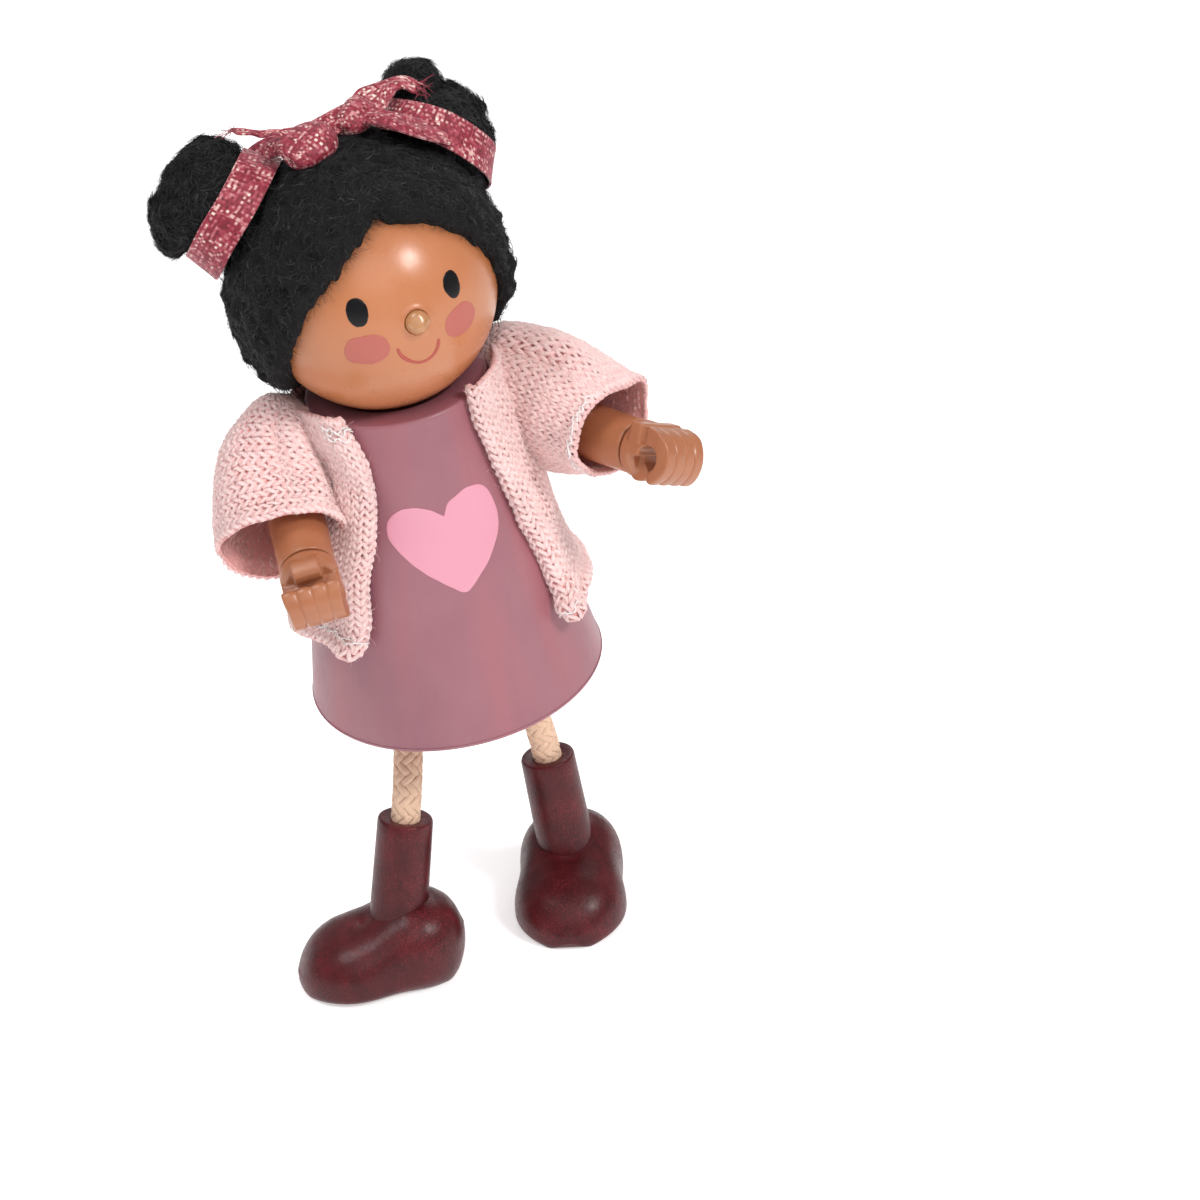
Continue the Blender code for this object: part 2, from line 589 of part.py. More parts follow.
def build_leg(side, hip, sign, shaft, lean, toe, leg_parent, ankle_parent, boot_parent):
    lean = lean.normalized()
    top = shaft + lean * SHAFT_L
    ankle = top + lean * HIP_DROP
    cord_piece(side + "_leg_root", body_point(sign * HIP_OUT, 0, -HIP_DROP + JOINT_END),
               body_point(sign * HIP_OUT, 0, 9 - GAP), None)
    cord_piece(side + "_leg_cord", hip, ankle, leg_parent, True, True, side + "_leg_wire")
    cord_piece(side + "_ankle_cord", top - lean * 6.0, ankle - lean * JOINT_END, ankle_parent)
    verts, faces = lathe([(0, -4.0 + GAP), (SHAFT_R_LOW - 0.2, -4.0 + GAP), (SHAFT_R_LOW, -3.4),
                          (SHAFT_R_LOW, 0), (SHAFT_R_TOP + 0.02, SHAFT_L - 0.25),
                          (SHAFT_R_TOP - 0.2, SHAFT_L), (CORD_R + GAP, SHAFT_L),
                          (CORD_R + GAP, SHAFT_L - 6.4), (0, SHAFT_L - 6.4)], 28)
    add(side + "_boot_shaft", verts, faces, BOOT, frame(shaft, lean, (1, 0, 0)), boot_parent)
    verts, faces = foot_mesh()
    middle = shaft - lean * (FOOT_H / 2 / lean.z)
    sole = frame(Vector((middle.x, middle.y, 0)), (0, 0, 1),
                 (math.cos(math.radians(toe)), math.sin(math.radians(toe)), 0))
    foot = add(side + "_boot_foot", verts, faces, BOOT, sole, boot_parent)
    verts, faces = lathe([(0, -4.0), (SHAFT_R_LOW + GAP, -4.0), (SHAFT_R_LOW + GAP, 6.0), (0, 6.0)], 28)
    cut(foot, add("cut_%s_boot_seat" % side, verts, faces, None, frame(shaft, lean, (1, 0, 0)), boot_parent))


def ankle_of(shaft, lean):
    return shaft + lean.normalized() * (SHAFT_L + HIP_DROP)


right_hip = axis_empty("axis_right_hip", RIGHT_HIP)
left_hip = axis_empty("axis_left_hip", LEFT_HIP)
right_ankle = axis_empty("axis_right_ankle", ankle_of(RIGHT_SHAFT, RIGHT_SHAFT_AXIS))
left_ankle = axis_empty("axis_left_ankle", ankle_of(LEFT_SHAFT, LEFT_SHAFT_AXIS))
right_turn = axis_empty("axis_right_boot_turn", RIGHT_SHAFT)
left_turn = axis_empty("axis_left_boot_turn", LEFT_SHAFT)
build_leg("right", RIGHT_HIP, -1, RIGHT_SHAFT, RIGHT_SHAFT_AXIS, RIGHT_TOE, right_hip, right_ankle, right_turn)
build_leg("left", LEFT_HIP, 1, LEFT_SHAFT, LEFT_SHAFT_AXIS, LEFT_TOE, left_hip, left_ankle, left_turn)


# ------------------------------------------------------------------- jacket
def swing_axis(side, shoulder, wrist):
    """The arm swings in the plane of the arm at rest and a line down and out
    along the cone's side."""
    out = math.radians(32)
    down = BODY.to_3x3() @ Vector((side * math.sin(out), 0, -math.cos(out)))
    return (wrist - shoulder).cross(down).normalized()


FRONT_EDGES = {-1: ((10.0, 46), (13.0, 42), (16.0, 39), (20.0, 38), (24.0, 32.5), (29.0, 28.5),
                    (32.7, 29.5), (35.8, 38), (38.5, 44)),
               1: ((8.0, 45), (12.0, 45), (16.5, 45), (21.9, 41), (27.6, 37.5), (34.2, 35.5), (38.5, 37.5))}


def front_edge(side, h):
    """Azimuth of the jacket's front edge at a height, in degrees from the front."""
    points = FRONT_EDGES[side]
    if h <= points[0][0]:
        return points[0][1]
    for (h0, a0), (h1, a1) in zip(points, points[1:]):
        if h <= h1:
            return a0 + (a1 - a0) * (h - h0) / (h1 - h0)
    return points[-1][1]


def jacket_mesh(n_az=40, n_h=11):
    rows_in, rows_out = [], []
    for k in range(n_h):
        h = JACKET_HEM + (JACKET_TOP - JACKET_HEM) * k / (n_h - 1)
        a0, a1 = front_edge(1, h), 360 - front_edge(-1, h)
        low = max(0.0, (16 - h) / 6.0)
        row_i, row_o = [], []
        for i in range(n_az):
            az = math.radians(a0 + (a1 - a0) * i / (n_az - 1))
            flare = 0.5 * low
            r = body_radius(h) + JACKET_GAP + flare
            d = Vector((math.sin(az), -math.cos(az), 0))
            row_i.append(d * r + Vector((0, 0, h)))
            row_o.append(d * (r + JACKET_T) + Vector((0, 0, h)))
        rows_in.append(row_i)
        rows_out.append(row_o)
    verts = [v for row in rows_out for v in row] + [v for row in rows_in for v in row]
    base = n_az * n_h
    faces = []
    for k in range(n_h - 1):
        for i in range(n_az - 1):
            a, b, c, d = k * n_az + i, k * n_az + i + 1, (k + 1) * n_az + i + 1, (k + 1) * n_az + i
            faces.append((a, b, c, d))
            faces.append((base + d, base + c, base + b, base + a))
        for i in (0, n_az - 1):
            a, d = k * n_az + i, (k + 1) * n_az + i
            faces.append((a, d, base + d, base + a) if i == 0 else (d, a, base + a, base + d))
    for i in range(n_az - 1):
        faces.append((i + 1, i, base + i, base + i + 1))
        a, b = (n_h - 1) * n_az + i, (n_h - 1) * n_az + i + 1
        faces.append((a, b, base + b, base + a))
    return verts, faces


verts, faces = jacket_mesh()
jacket = add("jacket_body", verts, faces, KNIT, BODY)
for side, sign in (("right", -1), ("left", 1)):
    verts, faces = lathe([(0, -6), (6.6, -6), (6.6, 8), (0, 8)], 24)
    verts = [(v[0] * 0.95, v[1] * 1.05, v[2]) for v in verts]
    hole_frame = frame(body_point(sign * 13.0, -1.6, 28.4),
                       BODY.to_3x3() @ Vector((sign * 0.97, -0.2, 0.1)), BODY.to_3x3() @ Vector((0, 1, 0)))
    cut(jacket, add("cut_%s_armhole" % side, verts, faces, None, hole_frame))

# Each sleeve is a loft of ovals from the shoulder to the hem, in the body's frame:
# centre, the direction it faces, half width and half height.
SLEEVES = {
    -1: (((-11.6, 1.8, 30.4), (-0.84, -0.48, -0.25), 5.2, 8.0),
         ((-14.6, -1.4, 29.6), (-0.45, -0.82, -0.32), 6.0, 7.4),
         ((-15.6, -4.8, 28.2), (-0.20, -0.93, -0.30), 6.3, 6.4),
         ((-16.2, -8.3, 26.6), (-0.12, -0.95, -0.28), 6.4, 5.3)),
    1: (((11.6, 1.4, 30.2), (0.92, -0.38, -0.10), 5.4, 7.8),
        ((15.4, -1.6, 29.8), (0.72, -0.69, -0.10), 5.8, 7.4),
        ((17.8, -4.8, 29.3), (0.52, -0.85, -0.05), 5.7, 6.7),
        ((19.6, -8.0, 28.8), (0.46, -0.89, -0.03), 5.5, 6.1)),
}
SLEEVE_T = 0.9


def sleeve_mesh(side, seg=28, steps=3):
    stations = SLEEVES[side]
    rings = []
    for (c0, d0, a0, b0), (c1, d1, a1, b1) in zip(stations, stations[1:]):
        for i in range(steps):
            t = i / steps
            rings.append((Vector(c0).lerp(Vector(c1), t), Vector(d0).lerp(Vector(d1), t),
                          a0 + (a1 - a0) * t, b0 + (b1 - b0) * t))
    c, d, a, b = stations[-1]
    rings.append((Vector(c), Vector(d), a, b))
    outer, inner = [], []
    for c, d, a, b in rings:
        d = d.normalized()
        up = (Vector((0, 0, 1)) - d.z * d).normalized()
        wide = d.cross(up)
        for target, less in ((outer, 0.0), (inner, SLEEVE_T)):
            for i in range(seg):
                q = 2 * math.pi * i / seg
                target.append(c + wide * (math.cos(q) * (a - less)) + up * (math.sin(q) * (b - less)))
    n = len(rings)
    verts = outer + inner
    base = len(outer)
    faces = []
    for k in range(n - 1):
        for i in range(seg):
            j = (i + 1) % seg
            p, q, r, s = k * seg + i, k * seg + j, (k + 1) * seg + j, (k + 1) * seg + i
            faces.append((p, q, r, s))
            faces.append((base + s, base + r, base + q, base + p))
    for i in range(seg):
        j = (i + 1) % seg
        faces.append((j, i, base + i, base + j))
        p, q = (n - 1) * seg + i, (n - 1) * seg + j
        faces.append((p, q, base + q, base + p))
    return verts, faces


SWING_DOWN, SWING_UP = 55, 16
for side, sign, shoulder, wrist, parent in (("right", -1, RIGHT_SHOULDER, RIGHT_WRIST, right_arm),
                                            ("left", 1, LEFT_SHOULDER, LEFT_WRIST, left_arm)):
    verts, faces = sleeve_mesh(sign)
    sleeve = add(side + "_sleeve", verts, faces, KNIT, BODY, parent)
    axis = swing_axis(sign, shoulder, wrist)
    pivot = Matrix.Translation((shoulder + ORIGIN) * MM)
    # Relief for the body and jacket at every angle of the swing.
    for n, angle in enumerate((-SWING_UP, 6, 30, SWING_DOWN)):
        off = JACKET_GAP + JACKET_T + GAP
        verts, faces = lathe([(0, 2), (body_radius(2) + off, 2), (body_radius(38) + off, 38), (0, 38)], 48)
        turned = pivot @ Matrix.Rotation(math.radians(-angle), 4, axis) @ pivot.inverted() @ BODY
        relief = add("cut_%s_relief_%d" % (side, n), verts, faces, None, turned, parent)
        cut(sleeve, relief)
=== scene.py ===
"""The finished look of the small wooden doll: paint, fleece, ribbon, knit, cord and
stained wood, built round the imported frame. Lengths are in millimetres until a mesh
is made; the doll faces -Y and its right side is at -X."""
import math

import bpy
import numpy as np
from mathutils import Matrix, Vector


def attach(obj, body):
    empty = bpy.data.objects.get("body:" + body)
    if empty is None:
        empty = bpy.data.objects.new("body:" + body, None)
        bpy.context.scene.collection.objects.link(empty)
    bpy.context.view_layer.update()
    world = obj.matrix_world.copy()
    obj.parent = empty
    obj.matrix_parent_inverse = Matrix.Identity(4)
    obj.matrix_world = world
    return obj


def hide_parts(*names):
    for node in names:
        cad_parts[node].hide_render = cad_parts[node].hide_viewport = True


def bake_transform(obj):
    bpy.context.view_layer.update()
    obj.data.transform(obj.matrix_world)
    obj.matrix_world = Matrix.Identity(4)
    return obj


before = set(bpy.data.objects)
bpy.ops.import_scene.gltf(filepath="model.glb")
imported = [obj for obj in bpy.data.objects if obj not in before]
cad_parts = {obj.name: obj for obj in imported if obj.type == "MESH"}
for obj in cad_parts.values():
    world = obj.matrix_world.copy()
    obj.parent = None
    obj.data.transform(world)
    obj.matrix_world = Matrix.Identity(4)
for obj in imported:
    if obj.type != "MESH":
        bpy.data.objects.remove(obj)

MM = 0.001
PI = math.pi
ORIGIN = np.array((0.954, 0.183, 0.0))

# ---------------------------------------------------------------- the frame's sizes
BODY_FOOT = np.array((-0.07, 2.41, 33.16))
BODY_AXIS = np.array((-0.100, -0.040, 0.994))
BODY_H, BODY_R, BODY_TOP_R = 36.45, 16.3, 9.7
HEAD_R, HEAD_H = 12.5, 47.32
CORD_R = 1.55
SHOULDER_H, SHOULDER_OUT = 28.0, 14.6
HIP_OUT, HIP_DROP = 6.5, 2.2
FOREARM_R, FOREARM_L, HAND_W = 3.0, 8.0, 6.1
WRIST = {"right": np.array((-17.43, -11.50, 56.31)), "left": np.array((18.46, -11.50, 62.47))}
REACH = {"right": np.array((-0.075, -0.937, -0.340)), "left": np.array((0.448, -0.893, 0.039))}
PALM = {"right": np.array((-0.194, -0.320, 0.925)), "left": np.array((-0.335, -0.209, -0.919))}
SHAFT_R_TOP, SHAFT_R_LOW, SHAFT_L, FOOT_H = 3.05, 3.25, 10.15, 8.9
SHAFT = {"right": np.array((-10.91, -4.20, FOOT_H)), "left": np.array((10.20, 2.18, FOOT_H))}
LEAN = {"right": np.array((0.196, 0.104, 0.975)), "left": np.array((-0.092, 0.064, 0.994))}
TOE = {"right": math.atan2(0.10, -0.99), "left": math.atan2(-0.95, -0.32)}
FOOT_TOE, FOOT_HEEL, TOE_W, HEEL_W = 11.5, 7.7, 12.9, 12.0
RIGHT_BUN_DIR = np.array((-0.690, 0.364, 0.625))
LEFT_BUN_DIR = np.array((0.660, 0.364, 0.657))
CROWN_DIR = np.array((0.04, 0.453, 0.890))


# ------------------------------------------------------------------------- helpers
def unit(v):
    v = np.asarray(v, float)
    return v / np.maximum(np.linalg.norm(v, axis=-1, keepdims=True), 1e-12)


class Frame:
    """A right-handed frame: Z along z, X as near x_hint as it can be."""

    def __init__(self, origin, z, x_hint):
        z = unit(z)
        x = np.asarray(x_hint, float)
        x = unit(x - x.dot(z) * z)
        self.o, self.m = np.asarray(origin, float), np.stack([x, np.cross(z, x), z])

    def out(self, p):
        return self.o + np.asarray(p, float) @ self.m

    def turn(self, v):
        return np.asarray(v, float) @ self.m

    def back(self, p):
        return (np.asarray(p, float) - self.o) @ self.m.T


BODY = Frame(BODY_FOOT, BODY_AXIS, (1, 0, 0))
HEAD_AT = BODY_FOOT + unit(BODY_AXIS) * HEAD_H
HEAD = Frame(HEAD_AT, (-0.090, 0.060, 0.994), (0.990, 0.112, 0.083))
SHOULDER = {"right": BODY.out((-SHOULDER_OUT, 0, SHOULDER_H)), "left": BODY.out((SHOULDER_OUT, 0, SHOULDER_H))}
HIP = {"right": BODY.out((-HIP_OUT, 0, -HIP_DROP)), "left": BODY.out((HIP_OUT, 0, -HIP_DROP))}


def body_radius(h):
    return BODY_R + (BODY_TOP_R - BODY_R) * h / BODY_H


def wobble(p, size, seed, waves=16):
    """A smooth random field about 0 with spread near 1; size is its grain in mm."""
    r = np.random.default_rng(seed)
    k = unit(r.normal(size=(waves, 3))) * r.uniform(0.6, 1.5, (waves, 1)) * 2.6 / size
    ph = r.uniform(0, 2 * PI, waves)
    return np.sin(np.asarray(p) @ k.T + ph).sum(-1) / math.sqrt(waves / 2)


def smooth(e0, e1, x):
    t = np.clip((np.asarray(x, float) - e0) / (e1 - e0), 0, 1)
    return t * t * (3 - 2 * t)


def spline(points, n=None, at=None):
    """A Catmull-Rom curve through the rows of points, sampled evenly by row number."""
    p = np.asarray(points, float)
    if p.ndim == 1:
        p = p[:, None]
    t = np.linspace(0, len(p) - 1, n) if at is None else np.asarray(at, float)
    i = np.clip(np.floor(t).astype(int), 0, len(p) - 2)
    f = (t - i)[:, None]
    a = p[np.clip(i - 1, 0, None)]
    b, c = p[i], p[i + 1]
    d = p[np.clip(i + 2, None, len(p) - 1)]
    a = np.where((i == 0)[:, None], 2 * b - c, a)
    d = np.where((i == len(p) - 2)[:, None], 2 * c - b, d)
    return 0.5 * (2 * b + (c - a) * f + (2 * a - 5 * b + 4 * c - d) * f ** 2 + (3 * b - 3 * c + d - a) * f ** 3)


def even(points, n):
    """The curve through the points, at n places evenly along its length."""
    fine = spline(points, 40 * len(points))
    s = np.concatenate([[0], np.cumsum(np.linalg.norm(np.diff(fine, axis=0), axis=1))])
    want = np.linspace(0, s[-1], n)
    return np.stack([np.interp(want, s, fine[:, k]) for k in range(fine.shape[1])], 1)


def grid_faces(rows, cols, wrap=False, flip=False, start=0):
    i, j = np.meshgrid(np.arange(rows - 1), np.arange(cols if wrap else cols - 1), indexing="ij")
    k = (j + 1) % cols
    q = np.stack([i * cols + j, i * cols + k, (i + 1) * cols + k, (i + 1) * cols + j], -1).reshape(-1, 4)
    return (q[:, ::-1] if flip else q) + start


def put(name, verts, faces, mat, body=None, replaces=(), shade=True, tint=None, uv=None, sharp=None):
    """A mesh object from stance millimetres. faces is an array of quads or a list."""
    me = bpy.data.meshes.new(name)
    co = (np.asarray(verts, float) + ORIGIN) * MM
    me.from_pydata(co.tolist(), [], [list(f) for f in (faces.tolist() if hasattr(faces, "tolist") else faces)])
    me.validate()
    me.materials.append(mat)
    if shade:
        me.shade_smooth()
        if sharp:
            me.set_sharp_from_angle(angle=math.radians(sharp))
    if tint is not None:
        layer = me.color_attributes.new(name="tint", type='FLOAT_COLOR', domain='POINT')
        t = np.asarray(tint, float)
        if t.shape[1] == 3:
            t = np.concatenate([t, np.ones((len(t), 1))], 1)
        layer.data.foreach_set("color", t.ravel().astype(np.float32))
    if uv is not None:
        layer = me.uv_layers.new(name="UVMap")
        loops = np.empty(len(me.loops), int)
        me.loops.foreach_get("vertex_index", loops)
        layer.data.foreach_set("uv", np.asarray(uv, float)[loops].ravel().astype(np.float32))
    obj = bpy.data.objects.new(name, me)
    bpy.context.scene.collection.objects.link(obj)
    if body:
        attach(obj, body)
    if replaces:
        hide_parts(*replaces)
    return obj


def baked(obj):
    """Puts an object's modifiers into its mesh."""
    dg = bpy.context.evaluated_depsgraph_get()
    me = bpy.data.meshes.new_from_object(obj.evaluated_get(dg))
    obj.modifiers.clear()
    old = obj.data
    obj.data = me
    bpy.data.meshes.remove(old)
    return obj


def carve(obj, cutters):
    for c in cutters:
        mod = obj.modifiers.new("cut", 'BOOLEAN')
        mod.operation, mod.object, mod.solver = 'DIFFERENCE', c, 'EXACT'
    baked(obj)
    for c in cutters:
        bpy.data.objects.remove(c, do_unlink=True)
    return obj


def lathe(profile, seg):
    """Turns (radius, height) rows about Z; a row on the axis is one point."""
    verts, rows, faces = [], [], []
    for r, z in profile:
        if r < 1e-6:
            rows.append([len(verts)])
            verts.append((0.0, 0.0, z))
        else:
            rows.append(list(range(len(verts), len(verts) + seg)))
            verts += [(r * math.cos(2 * PI * i / seg), r * math.sin(2 * PI * i / seg), z) for i in range(seg)]
    for p, q in zip(rows, rows[1:]):
        for i in range(seg):
            j = (i + 1) % seg
            if len(p) == 1 and len(q) == 1:
                break
            if len(p) == 1:
                faces.append((p[0], q[j], q[i]))
            elif len(q) == 1:
                faces.append((p[i], p[j], q[0]))
            else:
                faces.append((p[i], p[j], q[j], q[i]))
    return np.array(verts), faces


def arc(cr, cz, r, a0, a1, n):
    return [(cr + r * math.cos(math.radians(a0 + (a1 - a0) * i / n)),
             cz + r * math.sin(math.radians(a0 + (a1 - a0) * i / n))) for i in range(n + 1)]


def tubes(paths, radius, sides, side_hint, flat=1.0, phase=0.0, caps=False):
    """Tubes along paths (many, points, 3). radius may vary; side_hint gives one flat side's normal."""
    paths = np.asarray(paths, float)
    m, n, _ = paths.shape
    t = np.empty_like(paths)
    t[:, 1:-1] = paths[:, 2:] - paths[:, :-2]
    t[:, 0], t[:, -1] = paths[:, 1] - paths[:, 0], paths[:, -1] - paths[:, -2]
    t = unit(t)
    nrm = np.broadcast_to(side_hint, paths.shape)
    s = unit(np.cross(t, nrm))
    nn = np.cross(s, t)
    r = np.broadcast_to(np.asarray(radius, float), (m, n))[..., None, None]
    a = 2 * PI * np.arange(sides) / sides + phase
    ring = (np.cos(a)[None, None, :, None] * s[:, :, None] + flat * np.sin(a)[None, None, :, None] * nn[:, :, None])
    v = (paths[:, :, None] + r * ring).reshape(-1, 3)
    one = grid_faces(n, sides, wrap=True, flip=True)
    faces = (one[None] + (np.arange(m) * n * sides)[:, None, None]).reshape(-1, 4)
    if caps:
        ends = []
        for k in range(m):
            b = k * n * sides
            ends.append([b + i for i in range(sides)])
            ends.append([b + (n - 1) * sides + i for i in reversed(range(sides))])
        return v, faces.tolist() + ends
    return v, faces


def fibres(base, direction, normal, length, width, lift, curl, seed, points=5):
    """Fine tapering strands that start at base, lie along direction and rise by lift."""
    r = np.random.default_rng(seed)
    n = len(base)
    d, nrm = unit(direction), unit(normal)
    side = unit(np.cross(nrm, d))
    length = np.broadcast_to(length, n)[:, None]
    lift = np.broadcast_to(lift, n)[:, None]
    curl = np.broadcast_to(curl, n)[:, None] * r.choice([-1, 1], (n, 1))
    pts = []
    bend = r.uniform(0.4, 1.0, (n, 1))
    for k in range(points):
        t = k / (points - 1)
        pts.append(base + length * (d * (t - 0.25 * np.abs(curl) * t ** 2) + side * (curl * t * t))
                   + nrm * lift * np.sin(bend * PI * t) + nrm * (-0.05 if k == 0 else 0.0))
    pts = np.stack(pts, 1)
    tan = unit(pts[:, -1] - pts[:, 0])
    spin = r.uniform(-1.1, 1.1, (n, 1))
    across = unit(np.cross(tan, nrm)) * np.cos(spin) + nrm * np.sin(spin)
    w = np.array([1.0, 1.0, 0.85, 0.6, 0.18] if points == 5 else np.linspace(1, 0.15, points))
    half = (np.broadcast_to(width, n)[:, None] * w[None] / 2)[..., None] * across[:, None]
    v = np.stack([pts - half, pts + half], 2).reshape(-1, 3)
    one = grid_faces(points, 2)
    f = (one[None] + (np.arange(n) * points * 2)[:, None, None]).reshape(-1, 4)
    return v, f


# ----------------------------------------------------------------------- materials
class Look:
    """A Principled material with small helpers for its nodes."""

    def __init__(self, name, colour, rough, **sockets):
        self.mat = bpy.data.materials.new(name)
        self.mat.use_nodes = True
        self.nt = self.mat.node_tree
        self.b = self.nt.nodes["Principled BSDF"]
        self.b.inputs["Base Color"].default_value = (*colour, 1)
        self.b.inputs["Roughness"].default_value = rough
        self.mat.diffuse_color = (*colour, 1)
        for key, value in sockets.items():
            self.b.inputs[key.replace("_", " ")].default_value = value

    def node(self, kind, **values):
        n = self.nt.nodes.new(kind)
        for key, value in values.items():
            setattr(n, key, value)
        return n

    def link(self, a, b):
        self.nt.links.new(a, b)

    def coords(self, scale=(1, 1, 1)):
        tc = self.node("ShaderNodeTexCoord")
        mp = self.node("ShaderNodeMapping")
        mp.inputs["Scale"].default_value = scale
        self.link(tc.outputs["Object"], mp.inputs["Vector"])
        return mp.outputs["Vector"]

    def noise(self, size, detail=3.0, rough=0.55, stretch=(1, 1, 1), distort=0.0):
        """size is the grain in millimetres."""
        n = self.node("ShaderNodeTexNoise")
        self.link(self.coords(stretch), n.inputs["Vector"])
        n.inputs["Scale"].default_value = 1000.0 / size
        n.inputs["Detail"].default_value = detail
        n.inputs["Roughness"].default_value = rough
        n.inputs["Distortion"].default_value = distort
        return n.outputs["Fac"]

    def ramp(self, fac, stops):
        n = self.node("ShaderNodeValToRGB")
        el = n.color_ramp.elements
        while len(el) < len(stops):
            el.new(0.5)
        for e, (pos, col) in zip(el, stops):
            e.position = pos
            e.color = (*col, 1) if len(col) == 3 else col
        self.link(fac, n.inputs["Fac"])
        return n.outputs["Color"]

    def grey(self, fac, stops):
        return self.ramp(fac, [(p, (v, v, v)) for p, v in stops])

    def mix(self, fac, a, b, how='MIX'):
        n = self.node("ShaderNodeMix", data_type='RGBA', blend_type=how)
        for sock, val in ((n.inputs[0], fac), (n.inputs[6], a), (n.inputs[7], b)):
            if hasattr(val, "links"):
                self.link(val, sock)
            elif isinstance(val, (int, float)):
                sock.default_value = val
            else:
                sock.default_value = (*val, 1)
        return n.outputs[2]

    def maths(self, how, a, b=0.5):
        n = self.node("ShaderNodeMath", operation=how)
        for sock, val in ((n.inputs[0], a), (n.inputs[1], b)):
            if hasattr(val, "links"):
                self.link(val, sock)
            else:
                sock.default_value = val
        return n.outputs[0]

    def attribute(self):
        n = self.node("ShaderNodeVertexColor", layer_name="tint")
        return n.outputs["Color"]

    def colour(self, out):
        self.link(out, self.b.inputs["Base Color"])

    def rough(self, out):
        self.link(out, self.b.inputs["Roughness"])

    def bump(self, height, depth, strength=1.0):
        """depth in millimetres."""
        n = self.node("ShaderNodeBump")
        n.inputs["Strength"].default_value = strength
        n.inputs["Distance"].default_value = depth * MM
        self.link(height, n.inputs["Height"])
        self.link(n.outputs["Normal"], self.b.inputs["Normal"])


def paint_look(name, base, dark, light, rough, streak=(1, 1, 0.12), coat=0.0, specks=None, band=None):
    k = Look(name, base, rough, Coat_Weight=coat, Coat_Roughness=0.18)
    broad = k.noise(9, 3)
    fine = k.noise(0.55, 4, stretch=streak)
    col = k.mix(k.grey(broad, [(0.3, 0.0), (0.7, 1.0)]), dark, light)
    col = k.mix(k.grey(fine, [(0.35, 0.0), (0.65, 0.35)]), col, base)
    if band:
        wide = k.grey(k.noise(6.5, 2, stretch=(1, 1, 0.06)), [(0.50, 0.0), (0.66, 0.38)])
        col = k.mix(wide, col, band)
        line = k.grey(k.noise(1.1, 3, stretch=(1, 1, 0.04)), [(0.50, 0.0), (0.68, 0.16)])
        col = k.mix(line, col, (0.265, 0.105, 0.130))
    if specks:
        dot = k.grey(k.noise(0.45, 2), [(0.70, 0.0), (0.76, 1.0)])
        col = k.mix(dot, col, specks)
    k.colour(col)
    k.rough(k.grey(k.noise(3, 4), [(0.3, rough - 0.05), (0.7, rough + 0.08)]))
    k.bump(k.mix(0.35, fine, k.noise(1.8, 2)), 0.018)
    return k.mat


DRESS = paint_look("look_dress_paint", (0.308, 0.120, 0.148), (0.284, 0.107, 0.138), (0.328, 0.133, 0.161), 0.38,
                   specks=(0.27, 0.10, 0.13), band=(0.400, 0.115, 0.130))
HEART = paint_look("look_heart_paint", (0.700, 0.295, 0.385), (0.685, 0.285, 0.372), (0.715, 0.308, 0.400), 0.46)
SKIN = paint_look("look_skin_paint", (0.492, 0.177, 0.073), (0.472, 0.166, 0.067), (0.512, 0.190, 0.080), 0.30,
                  streak=(1, 1, 0.5), coat=0.15)
EYE = Look("look_eye_paint", (0.003, 0.003, 0.004), 0.25, Specular_IOR_Level=0.3).mat
CHEEK = paint_look("look_cheek_paint", (0.440, 0.110, 0.085), (0.425, 0.102, 0.078), (0.460, 0.120, 0.092), 0.42)
MOUTH = paint_look("look_mouth_paint", (0.400, 0.065, 0.045), (0.385, 0.060, 0.040), (0.420, 0.072, 0.052), 0.42)
WOOD = paint_look("look_bare_wood", (0.640, 0.450, 0.260), (0.560, 0.370, 0.200), (0.700, 0.510, 0.310), 0.60,
                  streak=(1, 1, 0.08))


def nose_look():
    k = Look("look_nose_wood", (0.440, 0.210, 0.090), 0.28, Coat_Weight=0.3, Coat_Roughness=0.15)
    col = k.ramp(k.noise(0.5, 4, stretch=(1, 0.4, 1)), [(0.3, (0.40, 0.175, 0.070)), (0.7, (0.50, 0.245, 0.105))])
    k.colour(col)
    k.bump(k.noise(0.4, 3), 0.012)
    return k.mat


def hair_look(name, rough):
    k = Look(name, (0.012, 0.012, 0.014), rough, Sheen_Weight=0.02, Sheen_Roughness=0.4)
    k.b.inputs["Sheen Tint"].default_value = (0.55, 0.60, 0.70, 1)
    k.b.inputs["Specular IOR Level"].default_value = 0.16 if rough > 0.7 else 0.36
    k.colour(k.mix(0.0, k.attribute(), (0, 0, 0)))
    k.rough(k.grey(k.noise(0.6, 3), [(0.3, rough - 0.08), (0.7, rough + 0.06)]))
    k.bump(k.noise(0.16, 4), 0.05)
    return k.mat


def yarn_look(name, rough=0.92, sheen=0.60, depth=0.05):
    k = Look(name, (0.86, 0.56, 0.56), rough, Sheen_Weight=sheen, Sheen_Roughness=0.6)
    k.b.inputs["Sheen Tint"].default_value = (1.0, 0.90, 0.88, 1)
    k.b.inputs["Specular IOR Level"].default_value = 0.25
    strand = k.grey(k.noise(0.16, 4, distort=0.6), [(0.28, 0.72), (0.72, 1.10)])
    k.colour(k.mix(1.0, k.attribute(), strand, 'MULTIPLY'))
    k.rough(k.grey(k.noise(0.5, 2), [(0.3, rough - 0.06), (0.7, rough + 0.05)]))
    k.bump(k.noise(0.13, 4, distort=0.8), depth)
    return k.mat


